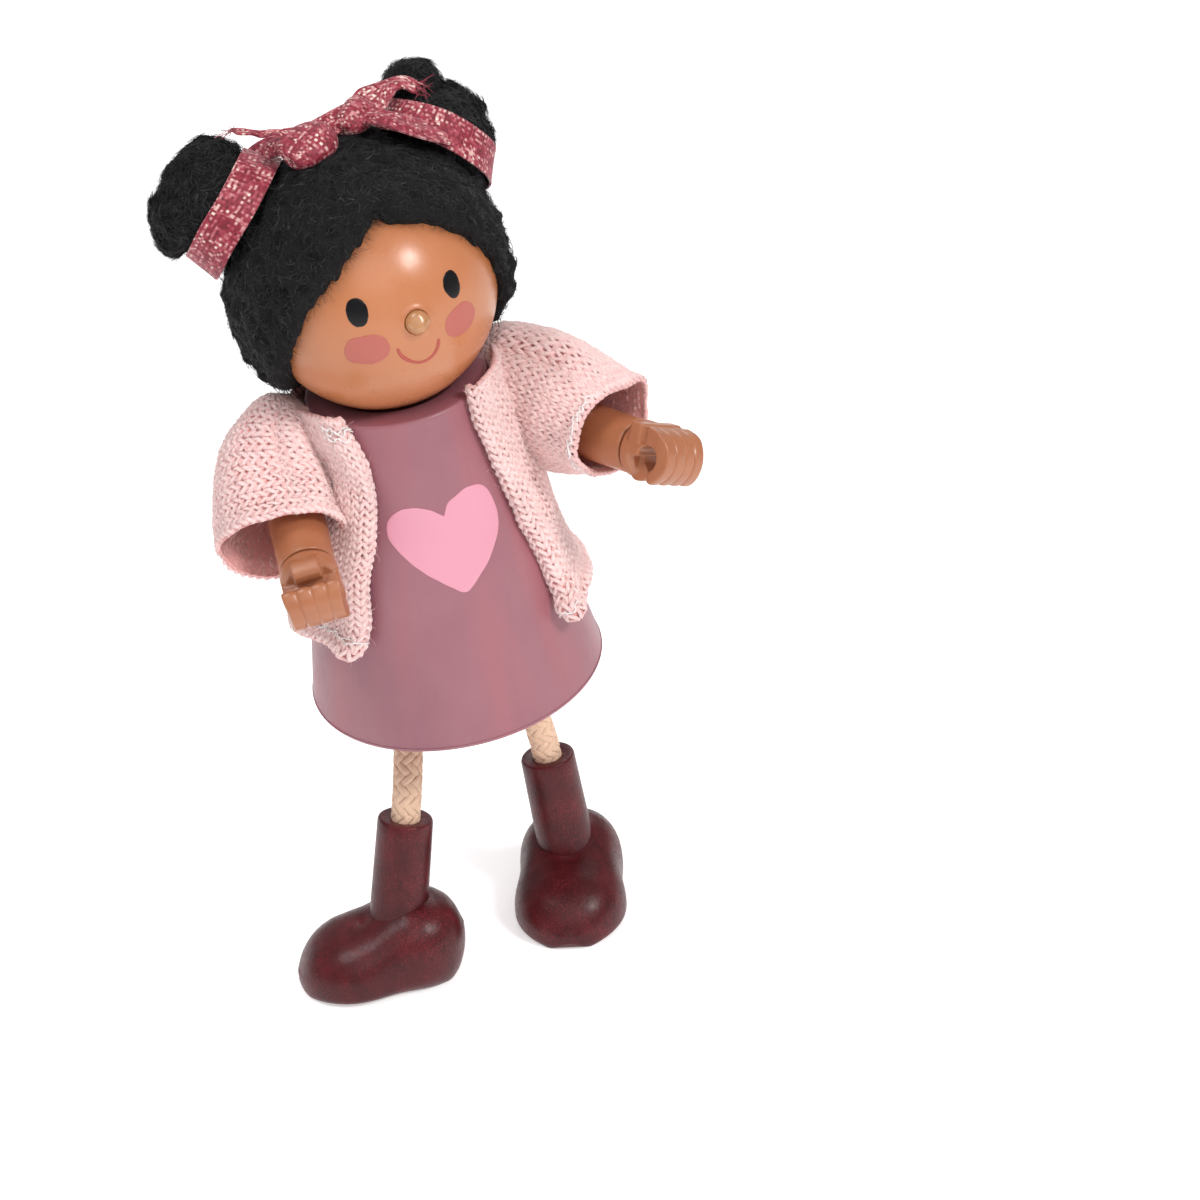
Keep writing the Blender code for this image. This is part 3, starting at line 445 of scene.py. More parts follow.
def ribbon_look():
    k = Look("look_ribbon_weave", (0.42, 0.06, 0.11), 0.55, Sheen_Weight=0.25, Sheen_Roughness=0.4)
    k.b.inputs["Sheen Tint"].default_value = (1.0, 0.75, 0.80, 1)
    k.colour(k.mix(1.0, k.attribute(), k.grey(k.noise(0.10, 3), [(0.3, 0.75), (0.7, 1.15)]), 'MULTIPLY'))
    k.rough(k.grey(k.noise(0.3, 2), [(0.35, 0.42), (0.65, 0.68)]))
    k.bump(k.noise(0.09, 3), 0.02)
    return k.mat


def hand_look():
    k = Look("look_hand_plastic", (0.380, 0.136, 0.062), 0.34, Coat_Weight=0.15, Coat_Roughness=0.25)
    col = k.ramp(k.noise(5, 3), [(0.3, (0.366, 0.127, 0.056)), (0.7, (0.412, 0.151, 0.068))])
    pit = k.grey(k.noise(0.5, 3), [(0.66, 0.0), (0.74, 0.5)])
    k.colour(k.mix(pit, col, (0.28, 0.090, 0.045)))
    k.rough(k.grey(k.noise(1.2, 4), [(0.3, 0.28), (0.7, 0.44)]))
    k.bump(k.noise(0.8, 4), 0.02)
    return k.mat


def cord_look():
    k = Look("look_cord_cotton", (0.70, 0.47, 0.30), 0.88, Sheen_Weight=0.25, Sheen_Roughness=0.6)
    k.b.inputs["Sheen Tint"].default_value = (1.0, 0.92, 0.82, 1)
    col = k.ramp(k.noise(0.22, 4, distort=0.6), [(0.25, (0.70, 0.44, 0.30)), (0.75, (0.86, 0.63, 0.46))])
    k.colour(k.mix(k.grey(k.noise(2.5, 2), [(0.35, 0.0), (0.65, 0.4)]), col, (0.76, 0.51, 0.36)))
    k.rough(k.grey(k.noise(0.5, 2), [(0.3, 0.80), (0.7, 0.95)]))
    k.bump(k.noise(0.11, 4, distort=0.8), 0.05)
    return k.mat


def boot_look():
    k = Look("look_boot_stain", (0.075, 0.014, 0.018), 0.38, Coat_Weight=0.13, Coat_Roughness=0.26, Specular_IOR_Level=0.22)
    base = k.ramp(k.noise(2.2, 4, stretch=(1, 1, 0.6)),
                  [(0.28, (0.046, 0.005, 0.007)), (0.55, (0.076, 0.008, 0.011)), (0.78, (0.110, 0.012, 0.015))])
    speck = k.grey(k.noise(0.19, 3, 0.7), [(0.54, 0.0), (0.66, 0.80)])
    speck = k.maths("MULTIPLY", speck, k.grey(k.noise(5.0, 2), [(0.40, 0.15), (0.62, 1.0)]))
    col = k.mix(speck, base, (0.240, 0.024, 0.030))
    dark = k.grey(k.noise(0.5, 3, 0.6, stretch=(1, 1, 0.5)), [(0.30, 0.45), (0.42, 0.0)])
    k.colour(k.mix(dark, col, (0.030, 0.005, 0.007)))
    k.rough(k.grey(k.noise(0.5, 4), [(0.3, 0.28), (0.7, 0.46)]))
    k.bump(k.noise(0.30, 4, stretch=(1, 1, 0.5)), 0.045)
    return k.mat


def steel_look():
    k = Look("look_wire_steel", (0.55, 0.55, 0.56), 0.32, Metallic=1.0)
    k.rough(k.grey(k.noise(0.2, 3, stretch=(1, 1, 0.1)), [(0.3, 0.26), (0.7, 0.42)]))
    k.bump(k.noise(0.15, 3, stretch=(1, 1, 0.1)), 0.004)
    return k.mat


NOSE, HAND, CORD, BOOT, STEEL = nose_look(), hand_look(), cord_look(), boot_look(), steel_look()
FLEECE, STRAND = hair_look("look_hair_fleece", 0.80), hair_look("look_hair_strand", 0.55)
KNIT, CLOTH = yarn_look("look_knit_yarn"), yarn_look("look_knit_cloth", 0.95, 0.2, 0.10)
FUZZ, THREAD = yarn_look("look_knit_fuzz", 0.9, 0.5, 0.01), yarn_look("look_sewing_thread", 0.6, 0.1, 0.01)
WEAVE = ribbon_look()


# --------------------------------------------------------------------------- torso
def make_torso():
    seat_r = HEAD_R + 0.3
    lip = math.sqrt(seat_r ** 2 - (HEAD_H - BODY_H) ** 2)
    hole = 2.2
    slope = math.degrees(math.atan2(BODY_R - BODY_TOP_R, BODY_H))
    side = [(body_radius(h), h) for h in np.linspace(0.5, BODY_H - 0.62, 24)]
    low = arc(BODY_R - 0.46, 0.46, 0.45, -90, slope - 4, 7)
    top = arc(body_radius(BODY_H - 0.5) - 0.42, BODY_H - 0.42, 0.42, slope + 4, 90, 7)
    dish = [(lip + (hole - lip) * i / 12, HEAD_H - math.sqrt(seat_r ** 2 - (lip + (hole - lip) * i / 12) ** 2))
            for i in range(13)]
    v, f = lathe([(0, 0), (8, 0.0)] + low + side + top + dish + [(hole, 30.8), (0, 30.8)], 160)
    torso = put("torso_paint", BODY.out(v), f, DRESS, sharp=40)
    cutters = []
    for fr, r, z0, z1 in ((Frame(BODY.out((-20, 0, SHOULDER_H)), BODY.turn((1, 0, 0)), BODY.turn((0, 0, 1))), 1.85, 0, 40),
                          (Frame(BODY.out((-HIP_OUT, 0, -2)), BODY.turn((0, 0, 1)), BODY.turn((1, 0, 0))), 1.85, 0, 11),
                          (Frame(BODY.out((HIP_OUT, 0, -2)), BODY.turn((0, 0, 1)), BODY.turn((1, 0, 0))), 1.85, 0, 11)):
        v, f = lathe([(0, z0), (r, z0), (r, z1), (0, z1)], 40)
        cutters.append(put("cut", fr.out(v), f, DRESS))
    carve(torso, cutters)
    torso.data.shade_smooth()
    torso.data.set_sharp_from_angle(angle=math.radians(40))
    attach(torso, "torso")
    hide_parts("torso")


HEART_EDGE = ((0.8, 25.8), (4.2, 27.0), (8.8, 27.4), (15.5, 27.85), (22.2, 27.7), (26.8, 27.1), (29.3, 26.0), (29.9, 23.9),
              (27.0, 22.1), (22, 20.7), (16.5, 19.4), (11.9, 18.6), (6.5, 17.6), (2.4, 17.15), (-2.6, 17.9), (-8.3, 19.0),
              (-14.5, 20.2), (-20.5, 21.6), (-26.0, 23.1), (-29.2, 24.5), (-29.0, 25.9), (-25.6, 26.8), (-20.3, 27.35),
              (-14.6, 27.4), (-9.8, 27.2), (-5.0, 26.75), (-1.5, 26.2))


def make_heart():
    pts = np.array(HEART_EDGE + HEART_EDGE[:1])
    edge = even(pts, 241)[:-1]
    mid = np.array((0.8, 23.2))
    rings = []
    for t, rise in ((0.04, .075), (0.2, .075), (0.4, .075), (0.6, .075), (0.8, .075), (0.93, .078), (0.975, .078), (0.993, .060), (1.0, .030), (1.002, -.05)):
        q = mid + (edge - mid) * t
        jit = 0.10 * wobble(np.stack([edge[:, 0] * 0.25, edge[:, 1], edge[:, 0] * 0], 1), 0.8, 5) * (t > 0.9)
        az = np.radians(q[:, 0]) + np.radians(jit * 0.5)
        h = q[:, 1] + jit * 0.12
        r = body_radius(h) + rise
        rings.append(np.stack([r * np.sin(az), -r * np.cos(az), h], 1))
    v = np.concatenate(rings + [[[0.0, -(body_radius(23.2) + .075), 23.2]]])
    v[-1] = (math.sin(math.radians(.8)) * (body_radius(23.2) + .075), -math.cos(math.radians(.8)) * (body_radius(23.2) + .075), 23.2)
    n = len(edge)
    f = grid_faces(len(rings), n, wrap=True, flip=False).tolist()
    f += [[len(v) - 1, (i + 1) % n, i] for i in range(n)]
    put("heart_paint", BODY.out(v), f, HEART, "torso")


# ---------------------------------------------------------------------------- head
def head_dir(az, el):
    az, el = np.radians(az), np.radians(el)
    return np.stack([np.sin(az) * np.cos(el), -np.cos(az) * np.cos(el), np.sin(el)], -1)


NOSE_FR = Frame(HEAD_AT, HEAD.turn((0, -1, 0)), HEAD.turn((1, 0, 0)))


def make_head():
    a0 = math.degrees(math.asin(1.27 / HEAD_R))
    profile = [(0, 8.6), (1.27, 8.6), (1.27, HEAD_R * math.cos(math.radians(a0)) + 0.10)]
    for a in list(np.linspace(a0 + 0.25, a0 + 4, 8)) + list(np.linspace(a0 + 5.5, 178.5, 90)):
        rise = 0.16 * math.exp(-((a - a0 - 0.6) / 1.6) ** 2)
        r = HEAD_R + rise
        profile.append((r * math.sin(math.radians(a)), r * math.cos(math.radians(a))))
    profile.append((0, -HEAD_R))
    v, f = lathe(profile, 144)
    ball = put("head_paint", NOSE_FR.out(v), f, SKIN, sharp=50)
    fr = Frame(HEAD_AT, BODY_AXIS, (1, 0, 0))
    v, f = lathe([(0, -14), (2.2, -14), (2.2, -4.52), (0, -4.52)], 40)
    carve(ball, [put("cut", fr.out(v), f, SKIN)])
    ball.data.shade_smooth()
    ball.data.set_sharp_from_angle(angle=math.radians(50))
    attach(ball, "head")
    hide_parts("head_ball")
    v, f = lathe([(0, 8.9), (1.12, 8.9), (1.22, 9.0), (1.22, 12.62)] + arc(0, 12.62, 1.24, 4, 88, 16)[:-1]
                 + [(0, 13.88)], 56)
    v[:, 2] += (v[:, 2] > 12.7) * 0.06 * wobble(v, 0.9, 3)
    put("nose_wood", NOSE_FR.out(v), f, NOSE, "head", ("nose_peg",), sharp=50)


def spot(name, az, el, half_w, half_h, tilt, mat, dome, seed, squareness=2.0):
    """A painted oval on the ball; half sizes in mm, tilt in degrees."""
    c = head_dir(az, el)
    e1 = unit(np.cross((0, 0, 1), c))
    e2 = np.cross(c, e1)
    t = math.radians(tilt)
    e1, e2 = e1 * math.cos(t) + e2 * math.sin(t), e2 * math.cos(t) - e1 * math.sin(t)
    n = 96
    q = 2 * PI * np.arange(n) / n
    ex = np.sign(np.cos(q)) * np.abs(np.cos(q)) ** (2 / squareness) * half_w
    ey = np.sign(np.sin(q)) * np.abs(np.sin(q)) ** (2 / squareness) * half_h
    jig = 1 + 0.022 * wobble(np.stack([ex, ey, ex * 0], 1), 0.9, seed) + 0.012 * wobble(np.stack([ex, ey, ex * 0], 1), 0.3, seed + 1)
    ex, ey = ex * jig, ey * jig
    rings, v = [], []
    for s, up in ((0.08, 1.0), (0.3, 0.98), (0.55, 0.93), (0.75, 0.86), (0.9, 0.74), (0.965, 0.58), (1.0, 0.28), (1.004, -0.8)):
        x, y = ex * s, ey * s
        rho = np.hypot(x, y) / HEAD_R
        w = unit(x[:, None] * e1 + y[:, None] * e2)
        p = (np.cos(rho)[:, None] * c + np.sin(rho)[:, None] * w) * (HEAD_R + 0.022 + dome * up)
        rings.append(p)
    v = np.concatenate(rings + [[c * (HEAD_R + 0.022 + dome)]])
    f = grid_faces(len(rings), n, wrap=True).tolist() + [[len(v) - 1, (i + 1) % n, i] for i in range(n)]
    put(name, HEAD.out(v), [g[::-1] for g in f], mat, "head")


def make_mouth():
    pts = np.array([(-11.3, -10.4), (-10.3, -14.3), (-7.9, -17.6), (-4.6, -20.2), (-1.0, -21.5), (2.7, -21.4), (6.1, -19.4),
                    (8.3, -16.2), (9.3, -12.0)])
    line = even(pts, 70)
    d = head_dir(line[:, 0], line[:, 1])
    t = unit(np.gradient(d, axis=0))
    side = unit(np.cross(d, t))
    s = np.linspace(0, 1, 70)
    half = 0.185 * np.sqrt(np.clip(1 - (np.abs(2 * s - 1)) ** 14, 0.02, 1)) * (1 + 0.12 * np.sin(s * 9) + 0.06 * wobble(d * 12, 0.5, 8))
    half = half * (1 + 0.22 * np.exp(-((s - 0.02) / 0.04) ** 2))
    rows = []
    for a, up in ((-1.02, -.03), (-1.0, .015), (-.8, .045), (-.4, .055), (0, .06), (.4, .055), (.8, .045), (1.0, .015), (1.02, -.03)):
        rows.append(d * (HEAD_R + up) + side * (half * a)[:, None])
    v = np.stack(rows, 1).reshape(-1, 3)
    f = grid_faces(70, 9, flip=True).tolist()
    f += [list(range(9)), list(range(69 * 9, 70 * 9))[::-1]]
    put("mouth_paint", HEAD.out(v), f, MOUTH, "head")


# ---------------------------------------------------------------------------- hair
HAIRLINE = np.array(((-180, -46), (-110, -42), (-85, -33), (-73.5, -19.5), (-62, -5.0), (-55, 4.5), (-45.5, 16.0), (-37.3, 24.0),
                     (-27.4, 33.5), (-17.7, 42.2), (-10.5, 47.6), (-5.5, 50.2), (0.7, 49.0), (9.0, 46.6), (19, 43.3), (32, 35.2),
                     (42.9, 26.0), (53, 14.0), (60, 2.4), (64.5, -6.2), (72, -18), (85, -33), (110, -42), (180, -46)), float)


def hairline(az):
    a = (np.asarray(az) + 180) % 360 - 180
    return np.interp(a, HAIRLINE[:, 0], HAIRLINE[:, 1])


def cap_radius(az, el):
    a = np.abs((az + 180) % 360 - 180)
    back = 1.0 / (1.0 + np.exp(-(a - 85) / 12.0))
    top = np.maximum(0.0, np.sin(np.radians(el)))
    thin = 0.3 * np.maximum(0.0, np.sin(np.radians(az)))
    r = 14.0 - thin + 1.5 * back * np.cos(np.radians(el - 5)) ** 2 + 1.15 * top
    low = np.clip((-el - 22) / 22.0, 0, 1)
    return np.minimum(15.4, r) * (1 - low) + np.minimum(r, 14.45) * low


RIDGES = (((3.0, 4.9, 16.8), 1.55, 3.0), ((-2.6, 3.2, 15.6), 0.45, 3.0), ((-6.4, 6.2, 12.6), 0.6, 2.6))


def cap_surface(az, el, d):
    """Outer radius of the fleece with its lumps; d is the direction."""
    p = d * 14.5
    lump = 0.13 * wobble(p, 3.0, 21) + 0.13 * wobble(p, 1.2, 22) + 0.10 * wobble(p, 0.75, 23) + 0.05 * wobble(p, 0.45, 24)
    for at, high, wide in RIDGES:
        lump = lump + high * np.exp(-(np.arccos(np.clip(d @ unit(np.array(at)), -1, 1)) * 15.5 / wide) ** 2)
    return cap_radius(az, el) - 0.10 + lump


def shade_of(n, seed, base=0.010, spread=0.010, pale=0.03):
    r = np.random.default_rng(seed)
    v = base + spread * r.random(n) ** 2
    # Painted highlight: a share (pale) of the strands is drawn four times as bright, as fibres that catch the light.
    v = np.where(r.random(n) < pale, v * 4, v)
    return np.stack([v, v * 1.02, v * 1.10], 1)


def make_cap():
    n_az, n_el = ((400, 110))
    az = np.arange(n_az) * 360.0 / n_az
    edge = hairline(az)
    jag = 1.1 * wobble(np.stack([np.sin(np.radians(az)) * 13, np.cos(np.radians(az)) * 13, edge * 0.2], 1), 0.9, 31)
    t = np.linspace(0, 1, n_el, endpoint=False)
    rows_o, rows_i = [], []
    for k, tt in enumerate(t):
        el = edge + jag * (1 - tt) ** 6 + (90 - edge) * tt
        d = head_dir(az, el)
        full = cap_surface(az, el, d)
        near = (el - edge) * PI / 180 * 13          # mm above the edge
        r = 12.56 + (full - 12.56) * np.sqrt(np.clip(1 - (1 - np.clip((near + 0.35) / 1.7, 0, 1)) ** 2, 0, 1))
        rows_o.append(d * r[:, None])
        rows_i.append(d * 12.54)
    v = np.concatenate(rows_o + [[(0, 0, 15.0)]] + rows_i + [[(0, 0, 12.54)]])
    top = n_az * n_el
    v[top] = (0, 0, v[top - n_az:top, 2].mean())
    f = grid_faces(n_el, n_az, wrap=True).tolist()
    base = top + 1
    f += grid_faces(n_el, n_az, wrap=True, flip=True, start=base).tolist()
    for i in range(n_az):
        j = (i + 1) % n_az
        f += [[(n_el - 1) * n_az + i, (n_el - 1) * n_az + j, top],
              [base + (n_el - 1) * n_az + j, base + (n_el - 1) * n_az + i, base + top],
              [j, i, base + i, base + j]]
    tint = np.tile(np.array([[0.008, 0.008, 0.009]]), (len(v), 1))
    put("hair_cap_fleece", HEAD.out(v), f, FLEECE, "head", ("hair_cap",), tint=tint)
    # Strands over the cap, lying in soft swirls and pulled towards the buns.
    r = np.random.default_rng(41)
    n = 20000
    want = []
    while sum(map(len, want)) < n:
        d = unit(r.normal(size=(n, 3)))
        el = np.degrees(np.arcsin(d[:, 2]))
        a = np.degrees(np.arctan2(d[:, 0], -d[:, 1]))
        want.append(d[el > hairline(a) - 0.8])
    d = np.concatenate(want)[:n]
    el, a = np.degrees(np.arcsin(d[:, 2])), np.degrees(np.arctan2(d[:, 0], -d[:, 1]))
    near = (el - hairline(a)) * PI / 180 * 13
    rad = 12.56 + (cap_surface(a, el, d) - 12.56) * np.sqrt(np.clip(1 - (1 - np.clip((near + 0.35) / 1.7, 0, 1)) ** 2, 0, 1))
    aim = np.where(d[:, :1] > 0, unit(LEFT_BUN_DIR), unit(RIGHT_BUN_DIR))
    flow = aim - (aim * d).sum(1, keepdims=True) * d
    flow = unit(flow) * 0.55
    side = np.cross(d, unit(flow))
    ang = 1.5 * wobble(d * 14, 2.6, 42) + 1.3 * r.normal(size=n)
    go = unit(flow) * np.cos(ang)[:, None] + side * np.sin(ang)[:, None]
    go[near < 0.9] += np.array((0, 0, -0.9)) * r.random((int((near < 0.9).sum()), 1))
    go = go - (go * d).sum(1, keepdims=True) * d
    length = r.uniform(0.6, 1.6, n)
    lift = r.uniform(0.04, 0.20, n) * (1 + 1.2 * (r.random(n) < 0.10))
    v, f = fibres(d * (rad - 0.03)[:, None], go, d, length, r.uniform(0.04, 0.08, n), lift, r.uniform(0.1, 1.1, n), 43)
    tint = np.repeat(shade_of(n, 44, 0.003, 0.012, 0.12), 10, 0)
    put("hair_cap_strands", HEAD.out(v), f, STRAND, "head", tint=tint)
    # A few loose hairs that stand off, and fine ones along the hair's edge over the face.
    m = 520
    k = r.integers(0, n, m)
    dd = d[k]
    go2 = unit(go[k] + 0.55 * dd + 0.4 * r.normal(size=(m, 3)))
    v, f = fibres(dd * rad[k][:, None], go2, dd, r.uniform(0.8, 2.2, m), r.uniform(0.018, 0.03, m), 0.15, r.uniform(0.2, 1.0, m), 45)
    az = r.uniform(-72, 72, 520)
    dd = head_dir(az, hairline(az) + r.uniform(-0.5, 2.0, 520))
    down = np.stack([r.normal(size=520) * 0.7, np.full(520, -0.6), np.full(520, -1.0)], 1)
    v2, f2 = fibres(dd * (12.62 + r.uniform(0, 0.7, 520))[:, None], down - (down * dd).sum(1, keepdims=True) * dd, dd,
                    r.uniform(0.5, 1.3, 520), r.uniform(0.018, 0.035, 520), r.uniform(0.02, 0.18, 520), r.uniform(0.1, 0.9, 520), 46)
    put("hair_cap_wisps", HEAD.out(np.concatenate([v, v2])), np.concatenate([f, f2 + len(v)]), STRAND, "head",
        tint=np.repeat(shade_of(m + 520, 47, 0.010, 0.03, 0.05), 10, 0))


def bun_frame(direction):
    return Frame(HEAD_AT, HEAD.turn(direction), HEAD.turn((0, -1, 0)))


def neck_radius(z):
    return 6.95 - 0.9 * (z - 14.5) / 4.0 - 0.45


# Each bun is a few round turns of hair above its neck: centre and radius in the bun's frame.
BUNS = {"right": (RIGHT_BUN_DIR, ((0.0, 0.2, 17.3, 5.7), (-0.12, 1.37, 19.25, 4.75), (0.23, -2.35, 19.85, 4.30), (0.9, 0.6, 21.0, 3.2), (0.5, -4.0, 19.9, 2.8))),
        "left": (LEFT_BUN_DIR, ((0.0, 0.3, 16.7, 5.5), (-1.39, -3.75, 21.2, 3.15), (0.41, 0.64, 20.0, 3.45), (1.2, 2.9, 18.35, 2.9), (-2.4, -4.5, 19.2, 2.2)))}


def bun_surface(side, rows, seg):
    """Points and outward normals over the neck and the turns of hair above it."""
    balls = BUNS[side][1]
    c = np.array((0.0, -0.4 if side == "left" else 0.0, 18.3))
    n_neck = int(rows * 0.15)
    q = 2 * PI * np.arange(seg) / seg
    z = np.linspace(14.6, 18.3, n_neck, endpoint=False)
    rad = neck_radius(z)
    neck = np.stack([rad[:, None] * np.cos(q), rad[:, None] * np.sin(q), z[:, None] + 0 * q], -1)
    a = np.radians(np.linspace(0, 90, rows - n_neck, endpoint=False))[:, None] + 0 * q
    rim = neck_radius(18.3)
    d = np.stack([np.cos(a) * np.cos(q), np.cos(a) * np.sin(q), np.sin(a)], -1)
    # Along the rim the rays start from the axis, so that the neck and the turns meet.
    far = []
    for x, y, zz, r in balls:
        o = np.array((x, y, zz)) - c
        b = d @ o
        disc = b * b - o.dot(o) + r * r
        far.append(np.where(disc > 0, b + np.sqrt(np.clip(disc, 0, None)), 0.0))
    far = np.log(np.exp(4.2 * np.stack(far)).sum(0)) / 4.2
    edge = np.linalg.norm(np.stack([rim * np.cos(q), rim * np.sin(q), 18.3 + 0 * q], -1) - c, axis=-1)
    blend = smooth(0.0, math.radians(10), a)
    dome = c + d * (edge * (1 - blend) + np.maximum(far, edge * 0.6) * blend)[..., None]
    base = np.stack([rim * np.cos(q), rim * np.sin(q), 18.3 + 0 * q], -1)
    dome = dome * smooth(0, 0.12, a)[..., None] + (base + (0, 0, 1) * (a * rim)[..., None]) * (1 - smooth(0, 0.12, a))[..., None]
    p = np.concatenate([neck, dome])
    n = unit(np.cross(np.roll(p, -1, 1) - np.roll(p, 1, 1), np.gradient(p, axis=0)))
    up = np.concatenate([np.linspace(0, 0.3, n_neck)[:, None] + 0 * q, 0.3 + 0.7 * smooth(0, 0.4, a)])
    lump = 0.11 * wobble(p, 2.2, 62) + 0.11 * wobble(p, 1.1, 63) + 0.09 * wobble(p, 0.7, 64) + 0.05 * wobble(p, 0.42, 65)
    return p + n * ((lump - 0.08) * up)[..., None], n


def make_bun(side):
    fr = bun_frame(BUNS[side][0])
    rows, seg = ((130, 230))
    p, out = bun_surface(side, rows, seg)
    v = np.concatenate([p.reshape(-1, 3), [p[-1].mean(0), (0, 0, 15.4)]])
    f = grid_faces(rows, seg, wrap=True).tolist()
    f += [[(rows - 1) * seg + i, (rows - 1) * seg + (i + 1) % seg, rows * seg] for i in range(seg)]
    f += [[(i + 1) % seg, i, rows * seg + 1] for i in range(seg)]
    put(side + "_bun_fleece", fr.out(v), f, FLEECE, "head", (side + "_bun",),
        tint=np.tile(np.array([[0.006, 0.006, 0.007]]), (len(v), 1)))
    r = np.random.default_rng(71 if side == "right" else 72)
    n = 9000
    area = np.linalg.norm(np.cross(np.gradient(p, axis=0), np.gradient(p, axis=1)), axis=-1)
    area[: int(rows * 0.14)] *= 0.2
    pick = r.choice(rows * seg, n, p=(area / area.sum()).ravel())
    at, nn = p.reshape(-1, 3)[pick], unit(out.reshape(-1, 3)[pick])
    # Strands run round the turns, as the wound hair does.
    swirl = np.cross(nn, unit(np.array((0.35, -0.55, 0.75)) + 0.6 * np.stack([wobble(at, 4, 73), wobble(at, 4, 74), wobble(at, 4, 75)], 1)))
    ang = 0.7 * r.normal(size=n)
    go = unit(swirl) * np.cos(ang)[:, None] + np.cross(nn, unit(swirl)) * np.sin(ang)[:, None]
    v, f = fibres(at - nn * 0.03, go, nn, r.uniform(0.6, 1.5, n), r.uniform(0.04, 0.08, n),
                  r.uniform(0.03, 0.18, n) * (1 + 1.2 * (r.random(n) < 0.08)), r.uniform(0.1, 1.0, n), 76)
    m = 260
    k = r.integers(0, n, m)
    v2, f2 = fibres(at[k], unit(go[k] + 0.5 * nn[k] + 0.4 * r.normal(size=(m, 3))), nn[k], r.uniform(0.6, 1.5, m),
                    r.uniform(0.018, 0.03, m), 0.15, r.uniform(0.2, 1.0, m), 77)
    put(side + "_bun_strands", fr.out(np.concatenate([v, v2])), np.concatenate([f, f2 + len(v)]), STRAND, "head",
        tint=np.repeat(shade_of(n + m, 78, 0.003, 0.012, 0.12), 10, 0))


# -------------------------------------------------------------------------- ribbon
PITCH = 0.27      # from thread to thread


def thread_colours(thread, along, seed):
    """One thread's colour: crimson, rose or pale pink, changing slowly along it; the near-white at the top is a painted
    glint of the shiny thread.
    """
    r = np.random.default_rng(seed)
    own, slub = r.random(263), r.random((263, 257))
    x = np.clip(0.46 * own[thread % 263] + 0.26 * slub[thread % 263, (along // 7) % 257]
                + 0.50 * slub[(thread + 131) % 263, along % 257] - 0.13, 0, 1)
    stops = np.array([0, 0.26, 0.46, 0.60, 0.72, 0.86, 1.0])
    cols = np.array([(0.12, 0.003, 0.011), (0.20, 0.006, 0.022), (0.28, 0.016, 0.040), (0.38, 0.060, 0.085),
                     (0.56, 0.22, 0.23), (0.72, 0.46, 0.42), (0.88, 0.74, 0.64)])
    return np.stack([np.interp(x, stops, cols[:, k]) for k in range(3)], -1)


def weave(surface, width, length, seed, closed=False, thick=0.20, per=3):
    """A woven strip: surface(a, s) gives points and normals for a across and s along, in mm."""
    nu = int(round(width / PITCH)) * per + 1
    nv = int(round(length / PITCH / 2)) * 2 * per + (0 if closed else 1)
    a = np.linspace(-width / 2, width / 2, nu)
    s = np.arange(nv) / (nv if closed else nv - 1) * length
    A, S = np.meshgrid(a, s)
    flatp = np.stack([A, S, 0 * A], -1)
    wa = A + 0.035 * wobble(flatp, 1.2, seed)
    ws = S + 0.035 * wobble(flatp, 1.2, seed + 1) * (np.sin(PI * S / length) > 0.02)
    x, y = wa / PITCH, ws / PITCH
    i, j = np.floor(x).astype(int), np.floor(y).astype(int)
    dx, dy = x - i - 0.5, y - j - 0.5
    over = np.where((i + j) % 2 == 0, 1.0, -1.0)
    warp = 0.050 * over * np.cos(PI * dy) + 0.075 * (np.sqrt(np.clip(1 - (dx / 0.56) ** 2, 0, 1)) - 1)
    weft = -0.050 * over * np.cos(PI * dx) + 0.075 * (np.sqrt(np.clip(1 - (dy / 0.56) ** 2, 0, 1)) - 1)
    h = np.maximum(warp, weft)
    top = warp > weft
    P, N = surface(A, S)
    edge_in = np.clip((width / 2 - np.abs(A)) / 0.12, 0, 1)
    outer = P + N * (thick / 2 + (h + 0.02) * edge_in - 0.05 * (1 - edge_in))[..., None]
    inner = P - N * thick / 2
    hue = np.where(top[..., None], thread_colours(i + 500, j + 40, seed), thread_colours(j + 200, i + 90, seed + 9))
    # Painted shade and light: the thread colour is darkened where the weave dips and a little brightened on its crests.
    hue = hue * np.clip(1.0 + 2.4 * h, 0.55, 1.1)[..., None]
    v = np.concatenate([outer.reshape(-1, 3), inner.reshape(-1, 3)])
    # The inner face is a darker copy (0.8) of the thread colours, as painted shade.
    tint = np.concatenate([hue.reshape(-1, 3), hue.reshape(-1, 3) * 0.8])
    n = nu * nv
    rows = nv + 1 if closed else nv
    def quads(base, flip):
        ii, jj = np.meshgrid(np.arange(rows - 1), np.arange(nu - 1), indexing="ij")
        i2 = (ii + 1) % nv
        q = np.stack([ii * nu + jj, ii * nu + jj + 1, i2 * nu + jj + 1, i2 * nu + jj], -1).reshape(-1, 4)
        return (q[:, ::-1] if flip else q) + base
    # The winding follows the surface's own normals.
    du, dv = np.gradient(P, axis=1), np.gradient(P, axis=0)[:, :]
    turned = (np.cross(du, dv)[2:-2, 2:-2] * N[2:-2, 2:-2]).sum() < 0
    f = [quads(0, False), quads(n, True)]
    ii = np.arange(rows - 1)
    i2 = (ii + 1) % nv
    for jj, fl in ((0, True), (nu - 1, False)):
        q = np.stack([ii * nu + jj, ii * nu + jj + n, i2 * nu + jj + n, i2 * nu + jj], -1)
        f.append(q[:, ::-1] if not fl else q)
    if not closed:
        jj = np.arange(nu - 1)
        for row, fl in ((0, False), (nv - 1, True)):
            q = np.stack([row * nu + jj, row * nu + jj + n, row * nu + jj + 1 + n, row * nu + jj + 1], -1)
            f.append(q[:, ::-1] if not fl else q)
    f = np.concatenate(f)
    return v, f[:, ::-1] if turned else f, tint


VIEW = np.array((-0.28, -0.849, 0.448))


